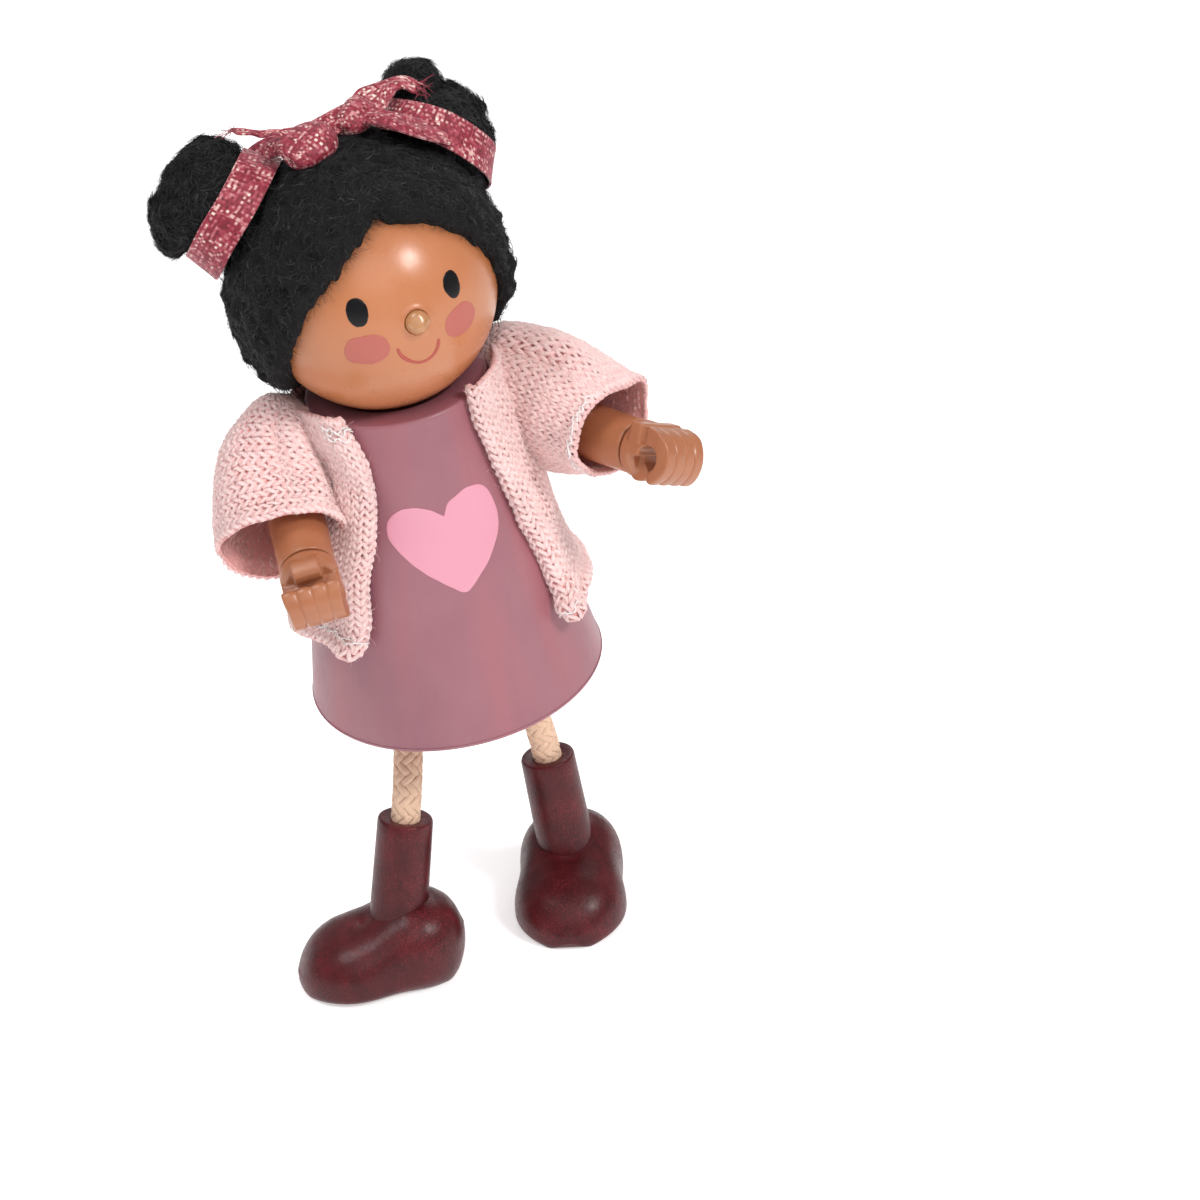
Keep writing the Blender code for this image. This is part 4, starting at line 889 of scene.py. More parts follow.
def strip_surface(centre, widths, lean=0.55, cup=0.0, twist=None, crease=0.0, seed=0):
    """A strip laid along the centre points in the head's frame, facing outwards and to the front."""
    c, k = np.asarray(centre, float), np.asarray(widths, float) / 4.0
    fine = 240
    C = even(c, fine)
    K = spline(k, fine)[:, 0]
    T = unit(np.gradient(C, axis=0))
    want = unit(C) * (1 - lean) + VIEW * lean
    if twist is not None:
        tw = np.radians(spline(np.asarray(twist, float), fine)[:, 0])[:, None]
        side = unit(np.cross(T, want))
        want = want * np.cos(tw) + side * np.sin(tw)
    W = unit(np.cross(T, want))
    N = np.cross(W, T)
    length = np.linalg.norm(np.diff(C, axis=0), axis=1).sum()

    def surface(A, S):
        t = S / length * (fine - 1)
        pick = lambda arr: np.stack([np.interp(t, np.arange(fine), arr[:, q]) for q in range(3)], -1)
        k2 = np.interp(t, np.arange(fine), K)
        n = unit(pick(N))
        rise = cup * (0.5 - (A / 2.0) ** 2)
        if crease:
            rise = rise + crease * np.sin(A * 2.6 + 0.9 * wobble(np.stack([0 * S, S, 0 * S], -1), 3.0, seed)) * np.clip(2 - np.abs(A), 0, 1)
        return pick(C) + pick(W) * (A * k2)[..., None] + n * rise[..., None], n
    return surface, length


def knot_surface(centre, axis, r_along, r_out, r_across, seed):
    """A gathered lump of ribbon: a closed loop of it round an axis."""
    c, ax = np.asarray(centre, float), unit(axis)
    out = unit(unit(c) * 0.6 + VIEW * 0.4)
    out = unit(out - out.dot(ax) * ax)
    side = np.cross(ax, out)
    wide, length = 1.45 * r_along * 2, 2 * PI * (r_out + r_across) / 2
    length = round(length / (2 * PITCH)) * 2 * PITCH

    def surface(A, S):
        t = A / (wide / 2)
        q = 2 * PI * S / length
        taper = np.sqrt(np.clip(1 - (0.995 * t) ** 2, 0, 1))
        key = np.stack([np.cos(q) * 1.6, np.sin(q) * 1.6, A * 0.6], -1)
        fold = 1 + 0.10 * np.sin(2 * q + 1.7 * t + seed) + 0.09 * wobble(key, 1.4, seed)
        x = np.sin(t * PI / 2 * 0.98) * r_along
        p = c + ax * x[..., None] + (out * (np.cos(q) * r_out * taper * fold)[..., None]
                                     + side * (np.sin(q) * r_across * taper * fold)[..., None])
        n = unit(out * (np.cos(q) * taper / r_out)[..., None] + side * (np.sin(q) * taper / r_across)[..., None]
                 + ax * (t / r_along)[..., None])
        return p, n
    return surface, wide, length


def make_ribbon():
    parts, frayed = [], []
    for direction, seed in ((RIGHT_BUN_DIR, 101), (LEFT_BUN_DIR, 111)):
        fr = bun_frame(direction)

        def loop(A, S, fr=fr, seed=seed):
            z = 16.5 + A * 0.99
            r = 7.02 - 0.9 * (z - 14.5) / 4.0
            q = S / 42.0 * 2 * PI
            flat = np.stack([np.cos(q) * 7, np.sin(q) * 7, z], -1)
            r = r + 0.07 * wobble(flat, 4.0, seed) + 0.10 * np.clip(np.abs(A) - 1.5, 0, 1)
            z = z + 0.10 * wobble(np.stack([np.cos(q) * 7, np.sin(q) * 7, 0 * q], -1), 5.0, seed + 1)
            p = np.stack([r * np.cos(q), r * np.sin(q), z], -1)
            n = np.stack([np.cos(q), np.sin(q), 0.22 + 0 * q], -1)
            return HEAD.back(fr.out(p)), unit(HEAD.back(fr.out(p + n)) - HEAD.back(fr.out(p)))
        parts.append(weave(loop, 4.0, 42.0, seed, closed=True))
    bands = (
        # from the right loop up to the first lump
        (((-9.2, 6.6, 13.6), (-7.6, 6.4, 15.0), (-6.0, 5.2, 15.9), (-4.6, 3.2, 16.4), (-3.0, 2.0, 16.6)), (3.6, 3.3, 3.0, 3.2, 3.2),
         0.5, 0.25, None, 0.12, 121, 0),
        # between the two lumps
        (((-3.2, 1.6, 16.5), (-1.2, 2.4, 16.9), (0.8, 3.4, 17.2), (2.8, 4.2, 17.3)), (3.4, 2.7, 2.6, 3.0), 0.55, 0.25, (0, 25, 10, 0), 0.18, 125, 0),
        # from the second lump forward into the left loop
        (((2.2, 3.4, 16.9), (3.5, 2.0, 17.05), (4.6, 0.4, 17.0), (6.2, -0.4, 16.2), (8.2, -0.3, 14.95), (10.5, 0.3, 13.7)),
         (1.6, 2.0, 2.6, 3.4, 3.9, 4.0), 0.35, 0.15, (20, 10, 0, 0, 0, 0), 0.08, 131, 0),
        # the longer tail, over the inner side of the left bun
        (((2.6, 3.9, 17.1), (3.8, 4.2, 17.45), (5.1, 4.7, 17.75), (6.5, 5.1, 18.2), (7.9, 5.4, 18.5), (9.2, 5.5, 18.3), (10.2, 5.2, 17.6)),
         (2.6, 3.2, 3.6, 3.0, 2.4, 2.3, 2.4), 0.45, 0.25, (0, 10, 15, 5, -5, 0, 0), 0.10, 141, 22),
        # the short tail, behind the right loop
        (((-3.4, 1.8, 17.0), (-4.6, 2.2, 17.5), (-6.0, 2.6, 18.0), (-7.6, 2.6, 18.3), (-8.9, 2.4, 18.9), (-9.9, 2.4, 19.3)),
         (2.4, 2.0, 1.4, 1.2, 1.1, 0.8), 0.5, 0.2, (0, 10, 30, 10, 20, 10), 0.10, 151, 14))
    for pts, widths, lean, cup, twist, crease, seed, threads in bands:
        surf, length = strip_surface(pts, widths, lean, cup, twist, crease, seed)
        parts.append(weave(surf, 4.0, length, seed))
        if threads:
            frayed.append((surf, length, threads, seed))
    for centre, axis, ra, ro, rc, seed in (((-3.3, 1.0, 16.25), (0.80, 0.45, 0.22), 2.9, 1.55, 2.0, 161),
                                           ((2.5, 3.6, 16.9), (0.62, 0.50, 0.25), 2.2, 1.40, 1.75, 171)):
        surf, wide, length = knot_surface(centre, axis, ra, ro, rc, seed)
        parts.append(weave(surf, wide, length, seed, closed=True, thick=0.16))
    for name, some, stands in (("hair_ribbon_weave", parts[2:], ("hair_ribbon",)), ("hair_ribbon_loops", parts[:2], ())):
        n = np.cumsum([0] + [len(pv) for pv, _, _ in some])
        put(name, HEAD.out(np.concatenate([pv for pv, _, _ in some])), np.concatenate([pf + k for (_, pf, _), k in zip(some, n)]),
            WEAVE, "head", stands, tint=np.concatenate([pt for _, _, pt in some]))
    # Frayed ends: loose threads past the cut.
    r = np.random.default_rng(181)
    vs, fs, ts, n = [], [], [], 0
    for surf, length, count, seed in frayed:
        A = np.linspace(-1.95, 1.95, count)
        p0, nn = surf(A, np.full(count, length - 0.5))
        p1, _ = surf(A, np.full(count, length))
        go = unit(p1 - p0)
        ln = r.uniform(0.4, 1.5, count)
        pts = np.stack([p0 + nn * 0.03, p1, p1 + (go + 0.35 * r.normal(size=(count, 3))) * ln[:, None] * 0.5,
                        p1 + (go + 0.6 * r.normal(size=(count, 3)) - (0, 0, 0.2)) * ln[:, None]], 1)
        fine = np.stack([spline(q, 10) for q in pts])
        v, f = tubes(fine, 0.07 * np.linspace(1, 0.5, 10), 5, (0.2, 0.5, 0.8), caps=False)
        vs.append(v)
        fs.append(f + n)
        n += len(v)
        ts.append(np.repeat(thread_colours(r.integers(0, 200, count), r.integers(0, 200, count), seed), 50, 0))
    put("hair_ribbon_fray", HEAD.out(np.concatenate(vs)), np.concatenate(fs), WEAVE, "head", tint=np.concatenate(ts))


# ---------------------------------------------------------------------------- knit
PINK = np.array((1.000, 0.742, 0.722))
# The deeper pink below is painted shade: it colours the cloth under the loops and the sleeves' insides, where the knit
# lies in shade.
SHADED_PINK = np.array((1.000, 0.480, 0.465))


class Cloth:
    """A knitted surface on a fine grid: u counts columns, v counts rows, w is out from it in mm."""

    def __init__(self, points, cols, rows, wrap=False):
        self.p, self.cols, self.rows, self.wrap = points, cols, rows, wrap
        nu, nv = points.shape[1], points.shape[0]
        q = np.concatenate([points[:, -2:-1], points, points[:, 1:2]], 1) if wrap else points
        du = np.gradient(q, axis=1)[:, 1:-1] if wrap else np.gradient(points, axis=1)
        dv = np.gradient(points, axis=0)
        self.n = unit(np.cross(du, dv))
        self.nu, self.nv = nu, nv
        self.press = np.zeros((nv, nu, 1))

    def at(self, u, v, w=0.0):
        p, n, _ = self.read(u, v)
        return p + n * np.asarray(w, float)[..., None], n

    def read(self, u, v):
        """The point, the normal and how far the loops are pressed flat there, 0 to 1."""
        x = np.asarray(u, float) / self.cols * (self.nu - 1)
        if self.wrap:
            x = x % (self.nu - 1)
        x = np.clip(x, 0, self.nu - 1.0001)
        y = np.clip(np.asarray(v, float) / self.rows * (self.nv - 1), 0, self.nv - 1.0001)
        i, j = np.floor(y).astype(int), np.floor(x).astype(int)
        a, b = (y - i)[..., None], (x - j)[..., None]
        pick = lambda g: (g[i, j] * (1 - a) * (1 - b) + g[i + 1, j] * a * (1 - b) + g[i, j + 1] * (1 - a) * b + g[i + 1, j + 1] * a * b)
        return pick(self.p), unit(pick(self.n)), pick(self.press)[..., 0]


def knit(cloth, yarn, seed, v0=0, v1=None, seg=10, sides=5, lift=0.30):
    """One yarn per row, bent into the loops of stocking stitch, its V side out."""
    rows = cloth.rows if v1 is None else v1
    n = cloth.cols * seg + 1
    s = np.linspace(0, cloth.cols, n)
    J = np.arange(v0, rows) + 0.5
    S, JJ = np.meshgrid(s, J)
    t = 2 * PI * (S - 0.5)
    key = np.stack([S, JJ, 0 * S], -1)
    a = 0.335 + 0.02 * wobble(key, 2.0, seed)
    u = S + a * np.sin(2 * t) + 0.05 * wobble(key, 1.6, seed + 1)
    v = JJ + 0.80 * np.cos(t) + 0.05 * wobble(key, 1.6, seed + 2)
    w = lift - 0.16 * np.cos(2 * t) + 0.04 * wobble(key, 1.4, seed + 3)
    if not cloth.wrap:
        u = np.clip(u, 0.0, cloth.cols)
    v = np.clip(v, 0.02, cloth.rows - 0.02)
    p, nrm, press = cloth.read(u, v)
    p = p + nrm * (w * (1 - 0.62 * press) - 0.25 * yarn * press)[..., None]
    r = np.clip(yarn * (1 + 0.12 * wobble(key, 0.9, seed + 4)), yarn * 0.7, yarn * 1.3)
    verts, faces = tubes(p, r * (1 - 0.25 * press), sides, nrm)
    # Painted shade: the yarn is drawn darker and pinker where its loop dips towards the cloth, and lighter on the
    # raised crest.
    up = np.repeat((np.cos(2 * t) * -0.5 + 0.5).ravel(), sides)
    hue = np.repeat(np.clip(0.5 + 0.30 * wobble(key, 2.4, seed + 5), 0, 1).ravel(), sides)
    tint = PINK * (0.92 + 0.10 * hue)[:, None] * (0.70 + 0.30 * up)[:, None] ** np.array((0.10, 1.0, 1.0))
    return verts, faces, tint


def cloth_sheet(cloth, under, thick, nu=None, nv=None):
    """The thin cloth that carries the loops, as a closed shell."""
    nu, nv = nu or cloth.nu, nv or cloth.nv
    u = np.linspace(0, cloth.cols, nu)
    v = np.linspace(0, cloth.rows, nv)
    U, V = np.meshgrid(u, v)
    if cloth.wrap:
        U = U[:, :-1]
        V = V[:, :-1]
        nu -= 1
    ripple = 0.05 * np.cos(2 * PI * V) * np.cos(2 * PI * U)
    outer, n1 = cloth.at(U, V, 0 * U + under + ripple)
    inner, _ = cloth.at(U, V, 0 * U + under - thick + ripple)
    vts = np.concatenate([outer.reshape(-1, 3), inner.reshape(-1, 3)])
    n = nu * nv
    f = [grid_faces(nv, nu, wrap=cloth.wrap), grid_faces(nv, nu, wrap=cloth.wrap, flip=True, start=n)]
    j = np.arange(nu if cloth.wrap else nu - 1)
    k = (j + 1) % nu
    f.append(np.stack([k, j, j + n, k + n], -1))
    b = (nv - 1) * nu
    f.append(np.stack([b + j, b + k, b + k + n, b + j + n], -1))
    if not cloth.wrap:
        i = np.arange(nv - 1)
        f.append(np.stack([i * nu, (i + 1) * nu, (i + 1) * nu + n, i * nu + n], -1))
        e = nu - 1
        f.append(np.stack([(i + 1) * nu + e, i * nu + e, i * nu + e + n, (i + 1) * nu + e + n], -1))
    # Both faces of the cloth take the painted shade pink, the inner face slightly paler.
    tint = np.concatenate([np.tile(SHADED_PINK, (n, 1)), np.tile(SHADED_PINK * (1, 1.05, 1.05), (n, 1))])
    return vts, np.concatenate(f), tint


def fuzz(cloth, count, seed, lift=0.62, long=1.0):
    r = np.random.default_rng(seed)
    u, v = r.uniform(0, cloth.cols, count), r.uniform(0.05, cloth.rows - 0.05, count)
    free = cloth.read(u, v)[2] < 0.25
    u, v = u[free], v[free]
    count = len(u)
    p, n = cloth.at(u, v, np.full(count, lift))
    p2, _ = cloth.at(u + 0.4 * r.normal(size=count), v + 0.4 * r.normal(size=count), np.full(count, lift))
    go = unit(p2 - p + 1e-6)
    out = r.random(count) < 0.35
    go = np.where(out[:, None], unit(go + 0.9 * n), go)
    return fibres(p - n * 0.10, go, n, r.uniform(0.35, 1.25, count) * long, r.uniform(0.016, 0.030, count),
                  r.uniform(0.03, 0.2, count), r.uniform(0.1, 1.0, count), seed + 1)


FRONT = {-1: ((9.6, 47.3), (10.7, 47.3), (12.9, 41.8), (15.4, 39.3), (20.1, 37.7), (24.2, 31.6), (29.2, 28.2), (32.7, 29.3),
              (35.8, 37), (38.5, 44)),
         1: ((8.3, 45.0), (10.7, 41.7), (12.1, 45), (16.5, 45.2), (21.9, 41.1), (27.6, 38.1), (34.2, 34.9), (38.5, 37.5))}


def front_edge(side, h):
    t = np.array(FRONT[side])
    return np.interp(h, t[:, 0], t[:, 1])


def clear_of_hair(p, room):
    """Points moved out of the space that the hair sweeps as the head turns a quarter either way."""
    axis = unit(BODY_AXIS)
    rel = p - HEAD_AT
    far = np.linalg.norm(rel, axis=-1)
    d = rel / far[..., None]
    need = np.zeros_like(far)
    for turn in np.radians(np.arange(-90, 91, 10)):
        q = HEAD.back(HEAD_AT + d * math.cos(turn) + np.cross(axis, d) * math.sin(turn)
                      + axis * (d @ axis)[..., None] * (1 - math.cos(turn)))
        el, az = np.degrees(np.arcsin(np.clip(q[..., 2], -1, 1))), np.degrees(np.arctan2(q[..., 0], -q[..., 1]))
        near = (el - hairline(az)) * PI / 180 * 13
        rim = np.sqrt(np.clip(1 - (1 - np.clip((near + 0.35) / 1.7, 0, 1)) ** 2, 0, 1))
        need = np.maximum(need, 12.56 + (cap_radius(az, el) + 0.15 - 12.56) * rim * (near > -0.35))
    short = need + room - far
    push = np.where(short > 0.4, short, np.clip(short + 0.4, 0, None) ** 2 / 1.6)
    return HEAD_AT + d * (far + push)[..., None]


def jacket_cloth():
    """The body of the jacket: u runs from the left front edge round the back to the right one."""
    nu, nv = 430, 150
    v = np.linspace(0, 1, nv)
    u = np.linspace(0, 1, nu)
    U, V = np.meshgrid(u, v)
    hem = 9.3 + 0.7 * np.sin(PI * u) ** 0.5 + 0.30 * np.sin(u * 23 + 1.0) - 0.3 * np.exp(-(u / 0.05) ** 2) + 2.9 * smooth(0.78, 0.97, u)
    top = 36.9 + 1.6 * np.exp(-((u - 0.08) / 0.09) ** 2) + 1.3 * np.exp(-((u - 0.92) / 0.09) ** 2)
    H = hem[None] + (top - hem)[None] * V
    a0, a1 = front_edge(1, H), 360 - front_edge(-1, H)
    # Room at the front edges for the rolled cloth: distance to the edge in mm.
    r0 = body_radius(H)
    span = (a1 - a0) * PI / 180 * r0
    d_left, d_right = U * span, (1 - U) * span
    path = np.array([(0.10, -0.15), (0.42, 0.15), (0.50, 0.62), (0.12, 1.05), (-0.55, 1.12), (-1.25, 0.82), (-2.0, 0.36), (-2.8, 0.08), (-3.6, 0.0)])
    fine = spline(path, 200)
    sl = np.concatenate([[0], np.cumsum(np.linalg.norm(np.diff(fine, axis=0), axis=1))])
    total = sl[-1]
    strength = 0.55 + 0.45 * smooth(30, 12, H)
    az = a0 + (a1 - a0) * U
    bump = np.zeros_like(H)
    for dist, sign in ((d_left, 1), (d_right, -1)):
        near = dist < total
        tt = np.interp(np.clip(dist, 0, total), sl, fine[:, 0])
        nn = np.interp(np.clip(dist, 0, total), sl, fine[:, 1])
        az_edge = a0 + 0.4 / r0 * 180 / PI if sign > 0 else a1 - 1.5 / r0 * 180 / PI
        az_roll = az_edge - sign * tt / r0 * 180 / PI
        mixw = smooth(total, total * 0.55, dist)
        az = np.where(near, az * (1 - mixw) + az_roll * mixw, az)
        bump += np.where(near, nn * strength, 0)
    A = np.radians(az)
    flare = 0.55 * smooth(15, 9.5, H)
    p3 = np.stack([np.sin(A) * r0, -np.cos(A) * r0, H], -1)
    fold = 0.22 * wobble(p3 * (1, 1, 0.35), 5.5, 201) + 0.10 * wobble(p3, 2.6, 202)
    edge_roll = 0.55 * smooth(1.6, 0.2, H - hem[None])
    # It lies flatter on the body beside the right forearm, which swings in towards it.
    flat = np.exp(-((az - 293) / 13) ** 4 - ((H - 28.6) / 4.8) ** 4)
    r = r0 + 0.62 - 0.48 * flat + flare + np.clip(fold, -0.12, 1) * (1 - flat) + bump + edge_roll
    # At the shoulders the cloth lifts to meet the sleeves.
    for c in (90, 270):
        lift = np.exp(-((az - c) / 26) ** 2 - ((H - 33.0) / 5.0) ** 2)
        r = r + 0.6 * lift
    # The hair clears the back; the front corners lie close under the face.
    room = -0.35 + 0.95 * smooth(75, 115, az) * smooth(300, 262, az)
    cloth = Cloth(clear_of_hair(BODY.out(np.stack([r * np.sin(A), -r * np.cos(A), H], -1)), room), 70, 30)
    cloth.press = flat[..., None]
    return cloth


SLEEVES = {
    -1: (((-9.6, 2.4, 30.6), (-0.93, -0.30, -0.20), 4.6, 6.7), ((-11.6, 1.8, 30.4), (-0.84, -0.48, -0.25), 5.3, 8.0),
         ((-14.6, -1.4, 29.6), (-0.45, -0.82, -0.32), 6.1, 7.5), ((-15.7, -4.8, 28.2), (-0.20, -0.93, -0.30), 6.4, 6.5),
         ((-16.3, -8.0, 26.7), (-0.12, -0.95, -0.28), 6.5, 5.5)),
    1: (((9.6, 2.2, 30.2), (0.97, -0.20, -0.08), 4.6, 6.7), ((11.6, 1.4, 30.2), (0.92, -0.38, -0.10), 5.5, 7.9),
        ((15.4, -1.6, 29.9), (0.72, -0.69, -0.10), 5.9, 7.5), ((17.8, -4.8, 29.4), (0.52, -0.85, -0.05), 5.8, 6.8),
        ((19.5, -7.8, 28.9), (0.46, -0.89, -0.03), 5.6, 6.2)),
}


def sleeve_cloth(side):
    nu, nv = 300, 110
    st = SLEEVES[side]
    rows = np.array([[*c, *d, a, b] for c, d, a, b in st], float)
    fine = spline(rows, nv)
    C, D, A, B = fine[:, :3], unit(fine[:, 3:6]), fine[:, 6], fine[:, 7]
    up = unit(np.array((0, 0, 1)) - D[:, 2:3] * D)
    wide = np.cross(D, up)
    q = np.linspace(0, 2 * PI, nu)
    t = np.linspace(0, 1, nv)
    Q, T = np.meshgrid(q, t)
    cq, sq = np.cos(Q), np.sin(Q)
    power = 0.92
    ex, ey = np.sign(cq) * np.abs(cq) ** power, np.sign(sq) * np.abs(sq) ** power
    key = np.stack([np.cos(Q) * 6, np.sin(Q) * 6, T * 11], -1)
    grow = 0.16 * wobble(key * (1, 1, 0.5), 4.5, 211 + side) + 0.08 * wobble(key, 2.0, 213 + side)
    grow += -0.45 + 0.32 * smooth(0.86, 1.0, T)
    # The crease that runs from the collar along the upper front.
    for c, deep, wid, lo, hi in (((PI * 0.5 - 0.42 if side > 0 else PI * 0.5 + 0.36), 0.85, 0.16, 0.12, 0.95),
                                 ((PI * 1.15 if side > 0 else PI * 1.9), 0.5, 0.25, 0.2, 1.0)):
        dq = (Q - c + PI) % (2 * PI) - PI
        grow -= deep * np.exp(-(dq / wid) ** 2) * smooth(lo, lo + 0.2, T) * (1 - 0.75 * smooth(hi - 0.5, hi, T))
        grow += deep * 0.45 * np.exp(-((dq - 0.42) / 0.25) ** 2) * smooth(lo, lo + 0.2, T) * (1 - 0.6 * smooth(hi - 0.4, hi, T))
    hem = 0.25 * np.sin(Q * 3 + side) * smooth(0.7, 1.0, T)
    if side > 0:
        hem = hem + (1.1 + 1.5 * np.clip(sq, 0, 1)) * smooth(0.35, 1.0, T)
        grow = grow - (1.3 * np.clip(sq, 0, 1) ** 2 + 1.5 * np.clip(-sq, 0, 1) ** 1.5) * smooth(0.60, 1.0, T)
    else:
        hem = hem + (0.2 + 1.7 * np.clip(sq, -0.2, 1)) * smooth(0.35, 1.0, T)
        grow = grow - 0.5 * np.clip(sq, 0, 1) ** 2 * smooth(0.72, 1.0, T)
    P = (C[:, None] + wide[:, None] * ((A[:, None] + grow) * ex)[..., None] + up[:, None] * ((B[:, None] + grow) * ey)[..., None]
         + D[:, None] * hem[..., None])
    if side < 0:
        # Knitted sideways: its rows are stacked round the arm, with the seam underneath.
        P = np.roll(P[:, :-1], nu // 4 + 8, axis=1)
        P = np.concatenate([P, P[:, :1]], 1)
        return Cloth(clear_of_hair(BODY.out(P.transpose(1, 0, 2)), 0.6), 13, 46)
    return Cloth(clear_of_hair(BODY.out(P[:, ::-1]), 0.6), 46, 14, wrap=True)


def make_jacket():
    seg = 9
    body = jacket_cloth()
    v, f, t = cloth_sheet(body, 0.14, 0.16, 260, 100)
    sheet = put("jacket_body_cloth", v, f, CLOTH, "torso", ("jacket_body",), tint=t)
    v, f, t = knit(body, 0.255, 221, seg=seg)
    yarn = put("jacket_body_knit", v, f, KNIT, "torso", tint=t)
    v, f = fuzz(body, 13000, 231)
    hairs = put("jacket_body_fuzz", v, f, FUZZ, "torso", tint=np.tile(PINK * 1.02, (len(v), 1)))
    made = {"body": body}
    for side, sign in (("right", -1), ("left", 1)):
        cl = sleeve_cloth(sign)
        made[side] = cl
        v, f, t = cloth_sheet(cl, 0.14, 0.16, *((180, 50) if sign > 0 else (50, 180)))
        sheet = put(side + "_sleeve_cloth", v, f, CLOTH, None, (side + "_sleeve",), tint=t)
        v, f, t = knit(cl, 0.255, 241 + sign, seg=seg)
        yarn = put(side + "_sleeve_knit", v, f, KNIT, None, tint=t)
        v, f = fuzz(cl, 6500, 251 + sign)
        hairs = put(side + "_sleeve_fuzz", v, f, FUZZ, None, tint=np.tile(PINK * 1.02, (len(v), 1)))
        for o in (sheet, yarn, hairs):
            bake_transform(o)
    return made


# ----------------------------------------------------------------------------- arms
def braid(line, radius, strands=8, pitch=8.6, width=0.45, thick=0.14, phase=0.0):
    """A round 2/2 braid on the points of a line: strands each way, and a core."""
    n = len(line)
    s = np.concatenate([[0], np.cumsum(np.linalg.norm(np.diff(line, axis=0), axis=1))])
    t = unit(np.gradient(line, axis=0))
    x = unit(np.cross(t, (0.12, 1.0, 0.2)))
    y = np.cross(t, x)
    paths, hints = [], []
    for hand in (1, -1):
        for k in range(strands):
            phi = 2 * PI * s / pitch
            th = hand * phi + 2 * PI * k / strands + phase
            # crossings are counted by strands * phi / pi
            cyc = strands * phi / 2
            r = radius - thick + hand * thick * 0.62 * np.clip(1.6 * np.cos(cyc - PI / 4), -1, 1)
            radial = x * np.cos(th)[:, None] + y * np.sin(th)[:, None]
            paths.append(line + radial * r[:, None])
            hints.append(radial)
    v, f = tubes(np.stack(paths), width, 6, np.stack(hints), flat=thick / width * 1.25)
    a = 2 * PI * np.arange(16) / 16
    core = (line[:, None] + (radius - 0.30) * (x[:, None] * np.cos(a)[None, :, None] + y[:, None] * np.sin(a)[None, :, None])).reshape(-1, 3)
    f2 = grid_faces(n, 16, wrap=True, flip=False).tolist() + [list(range(16))[::-1], [(n - 1) * 16 + i for i in range(16)]]
    return v, f, core, f2


def hermite(p0, t0, p1, t1, n):
    s = np.linspace(0, 1, n)[:, None]
    return ((2 * s ** 3 - 3 * s ** 2 + 1) * p0 + (s ** 3 - 2 * s ** 2 + s) * t0 + (-2 * s ** 3 + 3 * s ** 2) * p1 + (s ** 3 - s ** 2) * t1)


def fine_fuzz(line, radius, count, seed, mat, name):
    r = np.random.default_rng(seed)
    k = r.integers(1, len(line) - 1, count)
    t = unit(line[k + 1] - line[k - 1])
    d = unit(np.cross(t, r.normal(size=(count, 3))))
    go = unit(t * r.choice([-1, 1], (count, 1)) + 0.6 * r.normal(size=(count, 3)) + 0.3 * d)
    return fibres(line[k] + d * (radius - 0.04), go, d, r.uniform(0.3, 0.9, count), r.uniform(0.014, 0.024, count), 0.08, r.uniform(0.1, 0.8, count), seed + 1)


def make_cord_piece(name, line, lo, hi, phase, body_a, body_b, replaces, fuzz_n=260):
    """One stretch of a braided cord, from point lo to point hi of its line."""
    n = 0
    v, f, core, f2 = braid(line, CORD_R)
    strands = 16
    n_pts = len(line)
    idx = np.arange(n_pts)
    keep = (idx >= lo) & (idx <= hi)
    v = v.reshape(strands, n_pts, 6, 3)[:, keep].reshape(-1, 3)
    m = int(keep.sum())
    one = grid_faces(m, 6, wrap=True, flip=True)
    f = (one[None] + (np.arange(strands) * m * 6)[:, None, None]).reshape(-1, 4).tolist()
    core = core.reshape(n_pts, 16, 3)[keep].reshape(-1, 3)
    f2 = grid_faces(m, 16, wrap=True).tolist() + [list(range(16))[::-1], [(m - 1) * 16 + i for i in range(16)]]
    base = len(v)
    fv, ff = fine_fuzz(line[keep], CORD_R, fuzz_n, 301 + lo, CORD, name)
    verts = np.concatenate([v, core, fv])
    faces = f + [[i + base for i in g] for g in f2] + (ff + base + len(core)).tolist()
    o = put(name, verts, faces, CORD, None, replaces)
    if body_b:
        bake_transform(o)
    else:
        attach(o, body_a)
    return o


def make_legs():
    for side, sign in (("right", -1), ("left", 1)):
        lean = unit(LEAN[side])
        top = SHAFT[side] + lean * SHAFT_L
        ankle = top + lean * HIP_DROP
        hip = HIP[side]
        down = -BODY.turn((0, 0, 1))
        root = BODY.out((sign * HIP_OUT, 0, 8.6))
        exit_ = BODY.out((sign * HIP_OUT, 0, -0.6))
        inside = np.linspace(root, exit_, 30)[:-1]
        gap = np.linalg.norm(top - exit_)
        free = hermite(exit_, down * gap * 0.95, top + lean * 0.3, -lean * gap * 0.95, 64)
        below = np.linspace(top + lean * 0.3, top - lean * 5.9, 22)[1:]
        line = even(np.concatenate([inside[::6], free[::9], below[::6]]), 130)
        d = np.linalg.norm(line - (hip + ankle) / 2, axis=1)
        half = int(np.argmin(d))
        make_cord_piece(side + "_leg_cord_upper", line, 0, half, 0, "torso", side + "_leg",
                        (side + "_leg_root", side + "_leg_cord"))
        make_cord_piece(side + "_leg_cord_lower", line, half, len(line) - 1, 0, side + "_leg", side + "_ankle",
                        (side + "_ankle_cord",))


def smooth_remesh(obj, voxel, rounds, factor=0.5):
    mod = obj.modifiers.new("remesh", 'REMESH')
    mod.mode, mod.voxel_size, mod.adaptivity = 'VOXEL', voxel * MM, 0.0
    mod = obj.modifiers.new("smooth", 'SMOOTH')
    mod.factor, mod.iterations = factor, rounds
    baked(obj)
    obj.data.shade_smooth()
    return obj


def prism(outline, half, shift=0.0):
    n = len(outline)
    v = [(shift - half, y, z) for y, z in outline] + [(shift + half, y, z) for y, z in outline]
    f = [list(range(n)), list(reversed(range(n, 2 * n)))]
    f += [[i, n + i, n + (i + 1) % n, (i + 1) % n] for i in range(n)]
    return np.array(v), f


